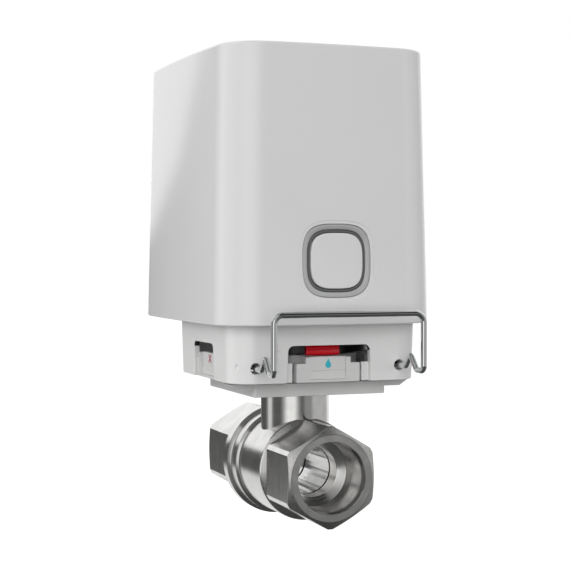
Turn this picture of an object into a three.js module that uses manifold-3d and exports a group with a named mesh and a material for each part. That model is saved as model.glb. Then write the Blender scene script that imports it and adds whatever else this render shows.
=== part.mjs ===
// Motorized ball-valve actuator: a screwed two-piece ball valve, an adapter plate on its neck, a
// base with four indicator windows, and a tall cover that holds the drive, the board and the cells.
// Frame: millimetres, origin where the stem axis crosses the pipe axis. +Z up the stem, the pipe
// along Y with the front port at -Y, and the button on the -Y face of the cover. The valve is open.
import * as THREE from 'three';
import { mergeVertices } from 'three/addons/utils/BufferGeometryUtils.js';
import Module from 'manifold-3d';

const wasm = await Module();
wasm.setup();

// ---------- driving dimensions ----------
const GAP = 0.3;                 // room between touching pieces

// valve, G 3/4
const HEX_AF = 32;               // across flats of both wrench ends
const PORT_R = 12.1;             // port bore, near the minor radius of G 3/4
const PORT_MOUTH_R = 12.5;       // the first turns are opened up to this at the face
const PORT_MOUTH_DEPTH = 2.8;
const FLOW_R = 8.8;              // bore through body, ball and cap
const HEX_TURNED_R = 17.95;      // the corners of the hexagons are turned down to this
const FRONT_FACE_Y = -35.4;
const FRONT_HEX_BACK_Y = -13.2;
const BARREL_R = 18.35;
const BODY_BAND_R = 19.4;        // raised band at the back of the body
const BODY_BACK_Y = 16.2;
const CAP_BACK_Y = 53.7;
const CAP_HEX_FRONT_Y = 33.3;
const CAP_RING_R = 20.5;
const PORT_DEPTH = 15.9;
const BALL_R = 14.5;
const CAVITY_R = 15.6;
const NECK_R = 12.47;
const NECK_TOP_Z = 27.4;
const SPIGOT_R = 9.5;            // threaded end of the neck, through the adapter plate
const SPIGOT_TOP_Z = 35.2;
const STEM_R = 4.6;
const SQUARE = 7;                // drive square of the stem and of the spindle

// adapter plate on the neck
const PLATE_HALF = 24.9;
const PLATE_Z = [27.7, 32.3];
const POCKET_Z = 31;             // floor of the round pocket that holds the nut
const TAB_FRONT_Y = -32;         // outer faces of the front and back tabs
const TAB_SIDE_X = 34.1;         // outer faces of the side tabs
const TAB_Z = [33, 41.9];
// half widths of a tab's panel, of its frame and of its shoulders, and how far back the panel lies
const FRONT_TAB = { panel: 6.5, frame: 8.4, shoulder: 11.8, recess: 0.25 };
const SIDE_TAB = { panel: 8.4, frame: 9.3, shoulder: 10.9, recess: 1.4 };
const GUIDE_WALL_R = 22.4;       // round wall under the indicator disc

// base
const BASE_HALF_X = 35.2;
const BASE_Y = [-32.9, 34];
const BASE_DRAFT = 0.025;        // narrower at the bottom
const BASE_CORNER = 9;
const BASE_Z = [33, 53.1];
const BASE_WALL = 2.2;
const WINDOW_TOP_Z = 45.8;
const WINDOW_HALF = 15.2;        // front and back windows
const SIDE_WINDOW_HALF = 11.2;
const WIRE_X = 26.8;             // wire clip holes
const WIRE_Z = 38.3;
const WIRE_HOLE_R = 1.85;
const DISC_R = 27;
const DISC_Z = [42.4, 46];
const POINTER_R = 27.8;          // outer faces of the two pointers
const POINTER_HALF = 6.25;

// cover
const COVER_HALF_X = 39.06;
const COVER_Y = [-38.28, 68.55];
const COVER_Z = [53.1, 148.8];
const COVER_CROWN = 2;           // each side bulges by this much between its corners
const COVER_CORNER = 13;
const COVER_WALL = 2.3;
const COVER_DRAFT = 0.0206;      // tangent of the draft angle, narrower at the top
const COVER_FILLET = 0.8;
const PANEL_Z = [54.2, 57];      // panel that closes the mouth of the cover

// button on the cover's front face
const BUTTON_Z = 75;
const BUTTON_SIZE = 19;
const BEZEL_SIZE = 21.2;
const LIGHT_SIZE = 24.9;
const SQUARENESS = 3.3;          // exponent of their superellipse outlines

// wire clip
const WIRE_R = 1.1;
const CLIP_LEG_X = 27.2;
const CLIP_BAR_Y = -51;
const CLIP_BAR_Z = 57.25;
const CLIP_LOW_Z = 37.5;
const CLIP_TIP_Y = 1.5;

// gears: output gear on the spindle, a cluster gear, and the motor's pinion
const MODULE = 0.8;
const PRESSURE = 25 * Math.PI / 180;
const OUTPUT_TEETH = 50;         // of a full circle
const OUTPUT_SECTOR = 20;        // teeth that the quarter turn needs, with a few to spare
const CLUSTER_TEETH = [12, 36];
const PINION_TEETH = 12;
const BACKLASH = 0.16;
const CLUSTER_ANGLE = 136.6 * Math.PI / 180;   // direction from the spindle to the cluster
const MOTOR_ANGLE = 25 * Math.PI / 180;        // direction from the cluster to the motor
const GEAR_PLATE_Z = [76, 78.2];

// power and electronics
const CELL_R = 8.5;
const CELL_LENGTH = 34.5;
const CELL_Y = 50;
const CELL_PITCH = 17.5;
const CELL_Z = 60.5;
const BOARD_Y = [-31.6, -30];
const BOARD_HALF_X = 26;
const BOARD_Z = [59.5, 118];

// ---------- solids ----------
function solid(geometry) {
  const bare = geometry.clone();
  for (const name of Object.keys(bare.attributes)) {
    if (name !== 'position') bare.deleteAttribute(name);
  }
  const merged = mergeVertices(bare, 1e-4);
  const index = merged.index.array;
  const corner = (i) => new THREE.Vector3().fromBufferAttribute(merged.attributes.position, index[i]);
  const triangles = [];
  let volume = 0;
  for (let i = 0; i < index.length; i += 3) {
    const [a, b, c] = [index[i], index[i + 1], index[i + 2]];
    if (a !== b && b !== c && c !== a) triangles.push(a, b, c);
    volume += corner(i).dot(corner(i + 1).cross(corner(i + 2)));
  }
  if (volume < 0) triangles.reverse();
  return new wasm.Manifold(new wasm.Mesh({
    numProp: 3,
    vertProperties: new Float32Array(merged.attributes.position.array),
    triVerts: new Uint32Array(triangles),
  }));
}

function toGeometry(shape) {
  const mesh = shape.getMesh();
  const geometry = new THREE.BufferGeometry();
  geometry.setAttribute('position', new THREE.BufferAttribute(new Float32Array(mesh.vertProperties), 3));
  geometry.setIndex(new THREE.BufferAttribute(new Uint32Array(mesh.triVerts), 1));
  geometry.computeVertexNormals();
  return geometry;
}

function union(shapes) {
  return shapes.reduce((whole, shape) => whole.add(shape));
}

function cut(shape, tools) {
  return tools.reduce((rest, tool) => rest.subtract(tool), shape);
}

function box([x0, x1], [y0, y1], [z0, z1]) {
  const geometry = new THREE.BoxGeometry(x1 - x0, y1 - y0, z1 - z0);
  return solid(geometry.translate((x0 + x1) / 2, (y0 + y1) / 2, (z0 + z1) / 2));
}

function cylinderY(r, [y0, y1], x = 0, z = 0, segments = 36) {
  const geometry = new THREE.CylinderGeometry(r, r, y1 - y0, segments);
  return solid(geometry.translate(x, (y0 + y1) / 2, z));
}

function cylinderZ(r, [z0, z1], x = 0, y = 0, segments = 24) {
  const geometry = new THREE.CylinderGeometry(r, r, z1 - z0, segments).rotateX(Math.PI / 2);
  return solid(geometry.translate(x, y, (z0 + z1) / 2));
}

// profile: [radius, position along the axis] pairs, from the axis round to the axis, or a closed ring
function latheY(profile, segments = 36) {
  return solid(new THREE.LatheGeometry(profile.map(([r, t]) => new THREE.Vector2(r, t)), segments));
}

function latheZ(profile, segments = 24) {
  const points = profile.map(([r, t]) => new THREE.Vector2(r, t));
  return solid(new THREE.LatheGeometry(points, segments).rotateX(Math.PI / 2));
}

function ring(points) {
  return [...points, points[0]];
}

function extrudeZ(outline, [z0, z1]) {
  const shape = new THREE.Shape(outline);
  const geometry = new THREE.ExtrudeGeometry(shape, { depth: z1 - z0, bevelEnabled: false });
  return solid(geometry.translate(0, 0, z0));
}

// outline drawn in X and Z, extruded along Y
function extrudeY(outline, [y0, y1]) {
  const shape = new THREE.Shape(outline);
  const geometry = new THREE.ExtrudeGeometry(shape, { depth: y1 - y0, bevelEnabled: false });
  return solid(geometry.rotateX(Math.PI / 2).translate(0, y1, 0));
}

function roundedRectangle(halfX, [y0, y1], radius, { crown = 0, arcSteps = 6, sideSteps = 1 } = {}) {
  const middle = (y0 + y1) / 2;
  const halfY = (y1 - y0) / 2;
  const corners = [[1, 1, 0], [-1, 1, 1], [-1, -1, 2], [1, -1, 3]];
  const bare = [];
  for (const [sx, sy, quarter] of corners) {
    for (let i = 0; i <= arcSteps; i += 1) {
      const angle = (quarter + i / arcSteps) * Math.PI / 2;
      bare.push(new THREE.Vector2(
        sx * (halfX - radius) + radius * Math.cos(angle),
        sy * (halfY - radius) + radius * Math.sin(angle),
      ));
    }
    const last = bare[bare.length - 1];
    const [nx, ny, nextQuarter] = corners[(quarter + 1) % 4];
    const next = new THREE.Vector2(
      nx * (halfX - radius) + radius * Math.cos(nextQuarter * Math.PI / 2),
      ny * (halfY - radius) + radius * Math.sin(nextQuarter * Math.PI / 2),
    );
    for (let i = 1; i < sideSteps; i += 1) bare.push(last.clone().lerp(next, i / sideSteps));
  }
  return bare.map(({ x, y }) => new THREE.Vector2(
    x * (1 + crown * (1 - (y / halfY) ** 2) / halfX),
    middle + y * (1 + crown * (1 - (x / halfX) ** 2) / halfY),
  ));
}

// ---------- scene graph ----------
const object = new THREE.Group();

const materials = {
  whiteShell: { color: 0xe4e4e2, roughness: 0.35, metalness: 0 },
  whitePlastic: { color: 0xdcdcda, roughness: 0.5, metalness: 0 },
  greyPlastic: { color: 0x9a9b9b, roughness: 0.5, metalness: 0 },
  darkPlastic: { color: 0x3c3d3e, roughness: 0.5, metalness: 0 },
  blackPlastic: { color: 0x111112, roughness: 0.4, metalness: 0 },
  redPlastic: { color: 0xd81422, roughness: 0.3, metalness: 0 },
  nickel: { color: 0xb9b8b4, roughness: 0.3, metalness: 1 },
  brass: { color: 0xb8994e, roughness: 0.35, metalness: 1 },
  chrome: { color: 0xd8dadc, roughness: 0.08, metalness: 1 },
  steel: { color: 0x8d9194, roughness: 0.35, metalness: 1 },
  ptfe: { color: 0xf2f2ee, roughness: 0.6, metalness: 0 },
  rubber: { color: 0x1b1b1b, roughness: 0.8, metalness: 0 },
  acetal: { color: 0xeae6d8, roughness: 0.45, metalness: 0 },
  board: { color: 0x1f5b36, roughness: 0.5, metalness: 0 },
  chip: { color: 0x161618, roughness: 0.5, metalness: 0 },
  cellWrap: { color: 0x2f5d8c, roughness: 0.4, metalness: 0 },
};

function place(name, shape, material, parent = object) {
  const mesh = new THREE.Mesh(toGeometry(shape), new THREE.MeshStandardMaterial(materials[material]));
  mesh.name = name;
  parent.add(mesh);
  return mesh;
}

// ---------- valve ----------
function hexEnd(faceY, backY, side) {
  const acrossCorners = HEX_AF / Math.cos(Math.PI / 6);
  const low = Math.min(faceY, backY);
  const high = Math.max(faceY, backY);
  const geometry = new THREE.CylinderGeometry(acrossCorners / 2, acrossCorners / 2, high - low, 6);
  const prism = solid(geometry.translate(0, (low + high) / 2, 0));
  const faceR = HEX_AF / 2 - 0.85;
  const chamfer = (HEX_TURNED_R - faceR) * Math.tan(Math.PI / 6);
  return prism.intersect(latheY([
    [0, faceY], [faceR, faceY], [HEX_TURNED_R, faceY - side * chamfer], [HEX_TURNED_R, backY], [0, backY],
  ]));
}

// plug of the port's shape, with a tapered mouth and a coned step down to the flow bore
function portBore(faceY, side) {
  const inside = faceY - side * PORT_DEPTH;
  const mouth = faceY + side * GAP;
  return latheY([
    [0, mouth], [PORT_MOUTH_R, mouth], [PORT_MOUTH_R, faceY], [PORT_R, faceY - side * PORT_MOUTH_DEPTH],
    [PORT_R, inside], [FLOW_R, inside - side * 1.1], [0, inside - side * 1.1],
  ]);
}

function valveBody() {
  const barrel = latheY([
    [0, -14.2], [15.6, -14.2], [16.3, -13.2], [17.8, -12.5], [BARREL_R, -11.8], [BARREL_R, 10],
    [BODY_BAND_R, 10.6], [BODY_BAND_R, BODY_BACK_Y], [0, BODY_BACK_Y],
  ], 32);
  const neck = latheZ([[0, 0], [NECK_R, 0], [NECK_R, NECK_TOP_Z], [SPIGOT_R, NECK_TOP_Z],
    [SPIGOT_R, SPIGOT_TOP_Z], [0, SPIGOT_TOP_Z]], 28);
  return cut(union([hexEnd(FRONT_FACE_Y, FRONT_HEX_BACK_Y, -1), barrel, neck]), [
    portBore(FRONT_FACE_Y, -1),
    cylinderY(FLOW_R, [-25, 0]),
    cylinderY(CAVITY_R, [-12.5, BODY_BACK_Y + 1]),
    cylinderZ(6.6, [5, 18]),
    cylinderZ(STEM_R + GAP, [10, 30], 0, 0, 20),
    cylinderZ(7.9, [22, SPIGOT_TOP_Z + 1]),
  ]);
}

function endCap() {
  const spigotR = CAVITY_R - GAP;
  const body = latheY([
    [0, 12.6], [spigotR, 12.6], [spigotR, 13.2], [spigotR - 1.5, 13.2], [spigotR - 1.5, 15],
    [spigotR, 15], [spigotR, BODY_BACK_Y + GAP], [BODY_BAND_R, BODY_BACK_Y + GAP],
    [CAP_RING_R, 17.4], [CAP_RING_R, 22], [17.4, 32], [15.9, 34.5], [0, 34.5],
  ], 32);
  return cut(union([body, hexEnd(CAP_BACK_Y, CAP_HEX_FRONT_Y - 7, 1)]), [
    portBore(CAP_BACK_Y, 1),
    cylinderY(FLOW_R, [10, 40]),
  ]);
}

// seat ring whose inner face is the sphere of the ball plus the gap; side is -1 in front, +1 behind
function seat(side) {
  const sphereR = BALL_R + GAP;
  const outerR = CAVITY_R - 0.4;
  const bowl = [0.3, 1.9, 3.8].map((step) => [FLOW_R + step, Math.sqrt(sphereR ** 2 - (FLOW_R + step) ** 2)]);
  const profile = [...bowl, [outerR, bowl[2][1]], [outerR, 12.2], [FLOW_R + 0.3, 12.2]];
  return latheY(ring(profile.map(([r, t]) => [r, side * t])), 32);
}

function ball() {
  const sphere = solid(new THREE.SphereGeometry(BALL_R, 24, 12).rotateX(Math.PI / 2));
  const slot = box([-3, 3], [-20, 20], [11, 20]);
  return cut(sphere, [cylinderY(FLOW_R, [-20, 20]), slot]);
}

function stem() {
  const half = SQUARE / 2;
  const turned = latheZ([[0, 11.3], [4.8, 11.3], [6.2, 14.6], [6.2, 16.4], [STEM_R, 16.4],
    [STEM_R, 35.6], [0, 35.6]], 20);
  const tang = box([-2.7, 2.7], [-8, 8], [11, 14.8]);
  const sideCuts = [box([2.7, 9], [-9, 9], [10, 14.8]), box([-9, -2.7], [-9, 9], [10, 14.8])];
  const square = box([-half, half], [-half, half], [35.5, 42.4]);
  return cut(union([turned, tang.intersect(cylinderZ(4.8, [11.3, 14.8], 0, 0, 24)), square]), sideCuts);
}

function washer(innerR, outerR, z, segments = 20) {
  return latheZ(ring([[innerR, z[0]], [outerR, z[0]], [outerR, z[1]], [innerR, z[1]]]), segments);
}

place('valve_body', valveBody(), 'nickel');
place('valve_end_cap', endCap(), 'nickel');
place('ball', ball(), 'chrome');
place('stem', stem(), 'brass');
place('stem_thrust_washer', washer(STEM_R + GAP, 6.2, [16.7, 17.7]), 'ptfe');
place('stem_packing', washer(STEM_R + GAP, 7.6, [22.3, 26]), 'ptfe');
place('gland_nut', washer(STEM_R + GAP, 7.6, [26.3, 34.6]), 'brass');
place('cap_seal_ring', latheY(ring([[14.1, 13.5], [15.2, 13.5], [15.2, 14.7], [14.1, 14.7]])), 'rubber');

place('seat_front', seat(-1), 'ptfe');
place('seat_rear', seat(1), 'ptfe');

// ---------- adapter plate ----------
// tab whose outer face is at y = -reach: a stepped frame round a panel, with a lip below the panel
function tab(reach, { panel, frame, shoulder, recess }) {
  const back = 3.3 - reach;
  const panelY = recess - reach;
  const outside = union([
    box([-frame, frame], [-reach, back], [TAB_Z[0], TAB_Z[1] - 0.2]),
    box([-shoulder, shoulder], [-reach, back], [TAB_Z[0], 39.6]),
    box([-shoulder, shoulder], [back - 0.5, 6 - GUIDE_WALL_R], [TAB_Z[0], 36]),
  ]).subtract(box([-panel, panel], [-reach - 1, panelY], [TAB_Z[0] + 1, 50]));
  return union([
    outside,
    box([-panel, panel], [panelY, back], [37, TAB_Z[1]]),
    box([-panel, panel], [panelY - 0.45, back], [34.2, 35.6]),
  ]);
}

function adapterPlate() {
  const outline = roundedRectangle(PLATE_HALF, [-PLATE_HALF, PLATE_HALF], 1.2, { arcSteps: 2 });
  const plate = extrudeZ(outline, PLATE_Z);
  const guideWall = washer(GUIDE_WALL_R - 2, GUIDE_WALL_R, [PLATE_Z[0] + 1, TAB_Z[1]], 32);
  const frontTab = tab(-TAB_FRONT_Y, FRONT_TAB);
  const sideTab = tab(TAB_SIDE_X, SIDE_TAB);
  const tabs = [
    frontTab, frontTab.rotate([0, 0, 180]), sideTab.rotate([0, 0, 90]), sideTab.rotate([0, 0, -90]),
  ];
  const feet = [-1, 1].map((side) => extrudeY([
    new THREE.Vector2(side * 24.5, 30.3), new THREE.Vector2(side * 30.6, 30.3),
    new THREE.Vector2(side * 33.9, 32.6), new THREE.Vector2(side * 24.5, 32.6),
  ], [-PLATE_HALF + 0.1, -18]));
  const lugs = [-1, 1].map((side) => {
    const reach = [side * 23.8, side * 29.9].sort((a, b) => a - b);
    return box(reach, [-9.4, 9.4], [TAB_Z[0], 41]);
  });
  const wireHoles = [-1, 1].map((side) => cylinderY(WIRE_R + 0.5, [-20, 20], side * WIRE_X, WIRE_Z, 14));
  const inside = cylinderZ(GUIDE_WALL_R - 2, [POCKET_Z, 45], 0, 0, 32);
  return cut(union([plate, guideWall, ...tabs, ...feet, ...lugs]), [
    ...wireHoles,
    inside,
    cylinderZ(SPIGOT_R + GAP, [20, 60], 0, 0, 32),
  ]);
}

function hexNut(acrossFlats, [z0, z1], boreR) {
  const geometry = new THREE.CylinderGeometry(
    acrossFlats / Math.sqrt(3), acrossFlats / Math.sqrt(3), z1 - z0, 6,
  ).rotateX(Math.PI / 2);
  return cut(solid(geometry.translate(0, 0, (z0 + z1) / 2)), [cylinderZ(boreR, [z0 - 1, z1 + 1])]);
}

place('adapter_plate', adapterPlate(), 'whitePlastic');
place('adapter_nut', hexNut(27, [POCKET_Z + GAP, 34.4], SPIGOT_R + GAP), 'nickel');

// narrows each side of a shape drawn at height startZ by the tangent slope, going up
function drafted(geometry, slope, startZ, halfX, [y0, y1]) {
  const position = geometry.attributes.position;
  const middleY = (y0 + y1) / 2;
  for (let i = 0; i < position.count; i += 1) {
    const inward = slope * (position.getZ(i) - startZ);
    position.setX(i, position.getX(i) * (1 - inward / halfX));
    position.setY(i, middleY + (position.getY(i) - middleY) * (1 - inward / ((y1 - y0) / 2)));
  }
  return geometry;
}

// ---------- base and indicator ----------
const BASE_SCREWS = [[-25.5, -24], [25.5, -24], [-25.5, 26], [25.5, 26]];

function window(halfWidth, topZ, cornerR) {
  const points = [new THREE.Vector2(-halfWidth - 0.5, BASE_Z[0] - 1)];
  for (let i = 0; i <= 3; i += 1) {
    const angle = Math.PI - i * Math.PI / 6;
    points.push(new THREE.Vector2(
      -halfWidth + cornerR + cornerR * Math.cos(angle), topZ - cornerR + cornerR * Math.sin(angle),
    ));
  }
  const right = points.map(({ x, y }) => new THREE.Vector2(-x, y)).reverse();
  return [...points, ...right];
}

function baseHousing() {
  const outer = roundedRectangle(BASE_HALF_X, BASE_Y, BASE_CORNER, { crown: 0.3, sideSteps: 3 });
  const innerY = [BASE_Y[0] + BASE_WALL, BASE_Y[1] - BASE_WALL];
  const inner = roundedRectangle(BASE_HALF_X - BASE_WALL, innerY, BASE_CORNER - BASE_WALL, { crown: 0.3 });
  const extruded = (outline, [z0, z1]) => {
    const shape = new THREE.Shape(outline);
    const geometry = new THREE.ExtrudeGeometry(shape, { depth: z1 - z0, bevelEnabled: false });
    return solid(drafted(geometry.translate(0, 0, z0), -BASE_DRAFT, BASE_Z[1], BASE_HALF_X, BASE_Y));
  };
  const skirt = cut(extruded(outer, BASE_Z), [extruded(inner, [BASE_Z[0] - 1, 50.4])]);
  const rails = [-1, 1].map((side) => {
    const reach = [side * 12.9, side * 17].sort((a, b) => a - b);
    return box(reach, [BASE_Y[0] + 1.9, BASE_Y[0] + 3.6], [BASE_Z[0], 39.7]);
  });
  const bosses = BASE_SCREWS.map(([x, y]) => cylinderZ(3.2, [46.5, 51], x, y, 12));
  return cut(union([skirt, ...rails, ...bosses]), [
    extrudeY(window(WINDOW_HALF, WINDOW_TOP_Z, 2), [-60, -PLATE_HALF]),
    extrudeY(window(WINDOW_HALF, WINDOW_TOP_Z, 2), [PLATE_HALF, 60]),
    extrudeY(window(SIDE_WINDOW_HALF, WINDOW_TOP_Z, 2), [-60, 60]).rotate([0, 0, 90])
      .subtract(box([-30, 30], [-60, 60], [0, 60])),
    ...[-1, 1].map((side) => cylinderY(WIRE_HOLE_R, [-40, -25], side * WIRE_X, WIRE_Z, 16)),
    ...BASE_SCREWS.map(([x, y]) => cylinderZ(1.8, [40, 60], x, y, 10)),
    cylinderZ(8.3, [45, 60]),
  ]);
}

const half = SQUARE / 2;
const socket = half + GAP;

function indicatorRotor() {
  const blank = latheZ([[0, 36.2], [9, 36.2], [9, DISC_Z[0]], [DISC_R, DISC_Z[0]], [DISC_R, DISC_Z[1]],
    [9, DISC_Z[1]], [9, 48.6], [0, 48.6]], 40);
  const seats = [-1, 1].map((side) => {
    const reach = [side * 18.7, side * 30].sort((a, b) => a - b);
    return box([-POINTER_HALF - GAP, POINTER_HALF + GAP], reach, [40, 50]);
  });
  return cut(blank, [
    box([-socket, socket], [-socket, socket], [30, 43]),
    box([-socket, socket], [-socket, socket], [44, 50]),
    ...seats,
  ]);
}

// red block clipped into the rim of the disc, with a lip that hangs down outside the guide wall
function pointer() {
  const across = [-POINTER_HALF, POINTER_HALF];
  const block = box(across, [-30, -19], [DISC_Z[0], DISC_Z[1] - 0.4]);
  const lip = box(across, [-30, -GUIDE_WALL_R - 0.7], [DISC_Z[0] - 0.35, DISC_Z[1] - 0.4]);
  return block.add(lip).intersect(cylinderZ(POINTER_R, [40, 50], 0, 0, 48));
}

const drive = new THREE.Group();
object.add(drive);

place('base_housing', baseHousing(), 'whitePlastic');
place('indicator_rotor', indicatorRotor(), 'blackPlastic', drive);
place('pointer_front', pointer(), 'redPlastic', drive);
place('pointer_back', pointer().rotate([0, 0, 180]), 'redPlastic', drive);
place('base_gasket', cut(
  extrudeZ(roundedRectangle(BASE_HALF_X - 1, [BASE_Y[0] + 1, BASE_Y[1] - 1], BASE_CORNER - 1), [53.4, 53.9]),
  [
    extrudeZ(roundedRectangle(BASE_HALF_X - 3, [BASE_Y[0] + 3, BASE_Y[1] - 3], BASE_CORNER - 3), [53, 54]),
  ],
), 'rubber');

// ---------- wire clip ----------
// half of the clip on the +X side, from the tip of the prong to the middle of the bar
function clipHalf() {
  return [
    [WIRE_X, CLIP_TIP_Y, WIRE_Z], [WIRE_X, -37.4, WIRE_Z], [WIRE_X, -38.4, WIRE_Z + 0.4],
    [WIRE_X, -40.85, 41.45], [WIRE_X, -41.62, 41.9], [WIRE_X, -42.45, 41.4],
    [WIRE_X + 0.1, -45.3, 38.4], [WIRE_X + 0.2, -46.2, 37.7], [WIRE_X + 0.3, -47.5, CLIP_LOW_Z],
    [CLIP_LEG_X, -49.4, CLIP_LOW_Z + 0.1], [CLIP_LEG_X, -50.5, 38.1], [CLIP_LEG_X, CLIP_BAR_Y, 39.4],
    [CLIP_LEG_X, CLIP_BAR_Y, CLIP_BAR_Z - 3.2], [CLIP_LEG_X - 0.4, CLIP_BAR_Y, CLIP_BAR_Z - 1.5],
    [CLIP_LEG_X - 1.5, CLIP_BAR_Y, CLIP_BAR_Z - 0.4],
    [CLIP_LEG_X - 3.2, CLIP_BAR_Y, CLIP_BAR_Z],
  ];
}

class Polyline extends THREE.Curve {
  constructor(points) {
    super();
    this.points = points;
  }

  getPoint(t) {
    const place = t * (this.points.length - 1);
    const i = Math.min(Math.floor(place), this.points.length - 2);
    return this.points[i].clone().lerp(this.points[i + 1], place - i);
  }

  getPointAt(u) {
    return this.getPoint(u);
  }

  // mitred tangent: the mean of the directions of the two segments that meet at a point
  getTangentAt(u) {
    const i = Math.round(u * (this.points.length - 1));
    const before = this.points[Math.max(i, 1)].clone().sub(this.points[Math.max(i, 1) - 1]).normalize();
    const next = Math.min(i, this.points.length - 2);
    const after = this.points[next + 1].clone().sub(this.points[next]).normalize();
    return before.add(after).normalize();
  }
}

// round wire with one section at each of its route's points
function wire(route, radius, sides) {
  const section = new THREE.Shape(Array.from({ length: sides }, (_, i) => {
    const angle = i * 2 * Math.PI / sides;
    return new THREE.Vector2(radius * Math.cos(angle), radius * Math.sin(angle));
  }));
  const path = new Polyline(route.map((p) => new THREE.Vector3(...p)));
  return solid(new THREE.ExtrudeGeometry(section, { steps: route.length - 1, extrudePath: path }));
}

const right = clipHalf();
const left = clipHalf().map(([x, y, z]) => [-x, y, z]).reverse();
place('retaining_clip', wire([...right, ...left], WIRE_R, 10), 'chrome');

// ---------- cover ----------
const COVER_MIDDLE_Y = (COVER_Y[0] + COVER_Y[1]) / 2;
const COVER_HALF_Y = (COVER_Y[1] - COVER_Y[0]) / 2;
const COVER_SCREWS = [[-32, -31], [32, -31], [-32, 61.3], [32, 61.3]];
const BOARD_PINS = [[-22, 65], [22, 65], [-22, 112], [22, 112]];

function coverOutline(inset, steps = {}) {
  return roundedRectangle(
    COVER_HALF_X - inset, [COVER_Y[0] + inset, COVER_Y[1] - inset], COVER_CORNER - inset,
    { crown: COVER_CROWN, arcSteps: 5, sideSteps: 4, ...steps },
  );
}

function coverBlock(inset, topZ, fillet) {
  const bevel = {
    bevelEnabled: fillet > 0,
    bevelThickness: fillet,
    bevelSize: fillet,
    bevelOffset: -fillet,
    bevelSegments: 3,
  };
  const startZ = COVER_Z[0] - 10;
  const depth = topZ - fillet - startZ;
  const geometry = new THREE.ExtrudeGeometry(new THREE.Shape(coverOutline(inset)), { depth, ...bevel });
  geometry.translate(0, 0, startZ);
  return solid(drafted(geometry, COVER_DRAFT, COVER_Z[0], COVER_HALF_X, COVER_Y));
}

function coverFrontY(z) {
  const rise = COVER_DRAFT * (z - COVER_Z[0]);
  return COVER_MIDDLE_Y - (COVER_HALF_Y + COVER_CROWN) * (1 - rise / COVER_HALF_Y);
}

// superellipse, a square outline with bowed sides and soft corners, grown by a margin on each side
function squircle(size, grow = 0) {
  const halfSize = size / 2 + grow;
  const soft = (value) => halfSize * Math.sign(value) * Math.abs(value) ** (2 / SQUARENESS);
  return Array.from({ length: 36 }, (_, i) => {
    const angle = i * Math.PI / 18;
    return new THREE.Vector2(soft(Math.cos(angle)), soft(Math.sin(angle)));
  });
}

// places a solid drawn around the button's centre, its face towards -Y, on the drafted front face
const BUTTON_TILT = -Math.atan(COVER_DRAFT);
function onFrontFace(shape) {
  return shape.rotate([BUTTON_TILT * 180 / Math.PI, 0, 0]).translate([0, coverFrontY(BUTTON_Z), BUTTON_Z]);
}

function cover() {
  const shell = coverBlock(0, COVER_Z[1], COVER_FILLET)
    .subtract(coverBlock(COVER_WALL, COVER_Z[1] - COVER_WALL, 0));
  const screwBosses = COVER_SCREWS.map(([x, y]) => cylinderZ(3.4, [PANEL_Z[1] + GAP, 74], x, y, 12));
  const boardBosses = BOARD_PINS.map(([x, z]) => cylinderY(3, [-37.6, BOARD_Y[0] - GAP], x, z, 10));
  const boardPins = BOARD_PINS.map(([x, z]) => cylinderY(1.1, [-37, BOARD_Y[1] + 1], x, z, 8));
  return cut(union([shell, ...screwBosses, ...boardBosses, ...boardPins]), [
    box([-60, 60], [-60, 90], [0, COVER_Z[0]]),
    onFrontFace(extrudeY(squircle(LIGHT_SIZE, GAP), [-3, 5])),
    ...COVER_SCREWS.map(([x, y]) => cylinderZ(1.8, [50, 68], x, y, 10)),
  ]);
}

const POSTS = [[-30, -18], [30, -18], [30, 36], [-30, 37]];
const CLUSTER = [
  MODULE * (OUTPUT_TEETH + CLUSTER_TEETH[0]) / 2 * Math.cos(CLUSTER_ANGLE),
  MODULE * (OUTPUT_TEETH + CLUSTER_TEETH[0]) / 2 * Math.sin(CLUSTER_ANGLE),
];
const MOTOR = [
  CLUSTER[0] + MODULE * (CLUSTER_TEETH[1] + PINION_TEETH) / 2 * Math.cos(MOTOR_ANGLE),
  CLUSTER[1] + MODULE * (CLUSTER_TEETH[1] + PINION_TEETH) / 2 * Math.sin(MOTOR_ANGLE),
];
const DOOR = { halfX: 34.8, y: [41.3, 58.7], earHalf: 4, earY: [36.2, 63.8] };
const DOOR_SCREWS = [[0, 38.8], [0, 61.2]];

function bottomPanel() {
  const outline = new THREE.Shape(coverOutline(COVER_WALL + 0.5, { arcSteps: 4, sideSteps: 4 }));
  const depth = PANEL_Z[1] - PANEL_Z[0];
  const plate = solid(new THREE.ExtrudeGeometry(outline, { depth, bevelEnabled: false })
    .translate(0, 0, PANEL_Z[0]));
  const clear = 0.4;
  return cut(union([
    plate,
    ...POSTS.map(([x, y]) => box([x - 2.6, x + 2.6], [y - 2.6, y + 2.6], [56, GEAR_PLATE_Z[0] - GAP])),
    ...POSTS.map(([x, y]) => cylinderZ(1.4, [60, GEAR_PLATE_Z[1] + 1], x, y, 8)),
    ...BASE_SCREWS.map(([x, y]) => cylinderZ(3.2, [56, 62], x, y, 10)),
    ...DOOR_SCREWS.map(([x, y]) => cylinderZ(2.4, [56, 60.5], x, y, 10)),
  ]), [
    cylinderZ(8.3, [50, 60]),
    cylinderZ(1.8, [50, 60], ...CLUSTER, 12),
    box([-DOOR.halfX - clear, DOOR.halfX + clear], [DOOR.y[0] - clear, DOOR.y[1] + clear], [50, 60]),
    box(
      [-DOOR.earHalf - clear, DOOR.earHalf + clear], [DOOR.earY[0] - clear, DOOR.earY[1] + clear], [50, 55.9],
    ),
    ...COVER_SCREWS.map(([x, y]) => cylinderZ(1.8, [50, 60], x, y, 10)),
    ...COVER_SCREWS.map(([x, y]) => cylinderZ(3.1, [50, 55.7], x, y, 12)),
    ...BASE_SCREWS.map(([x, y]) => cylinderZ(1.8, [50, 61], x, y, 10)),
    ...DOOR_SCREWS.map(([x, y]) => cylinderZ(1.6, [50, 59.8], x, y, 10)),
  ]);
}

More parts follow.
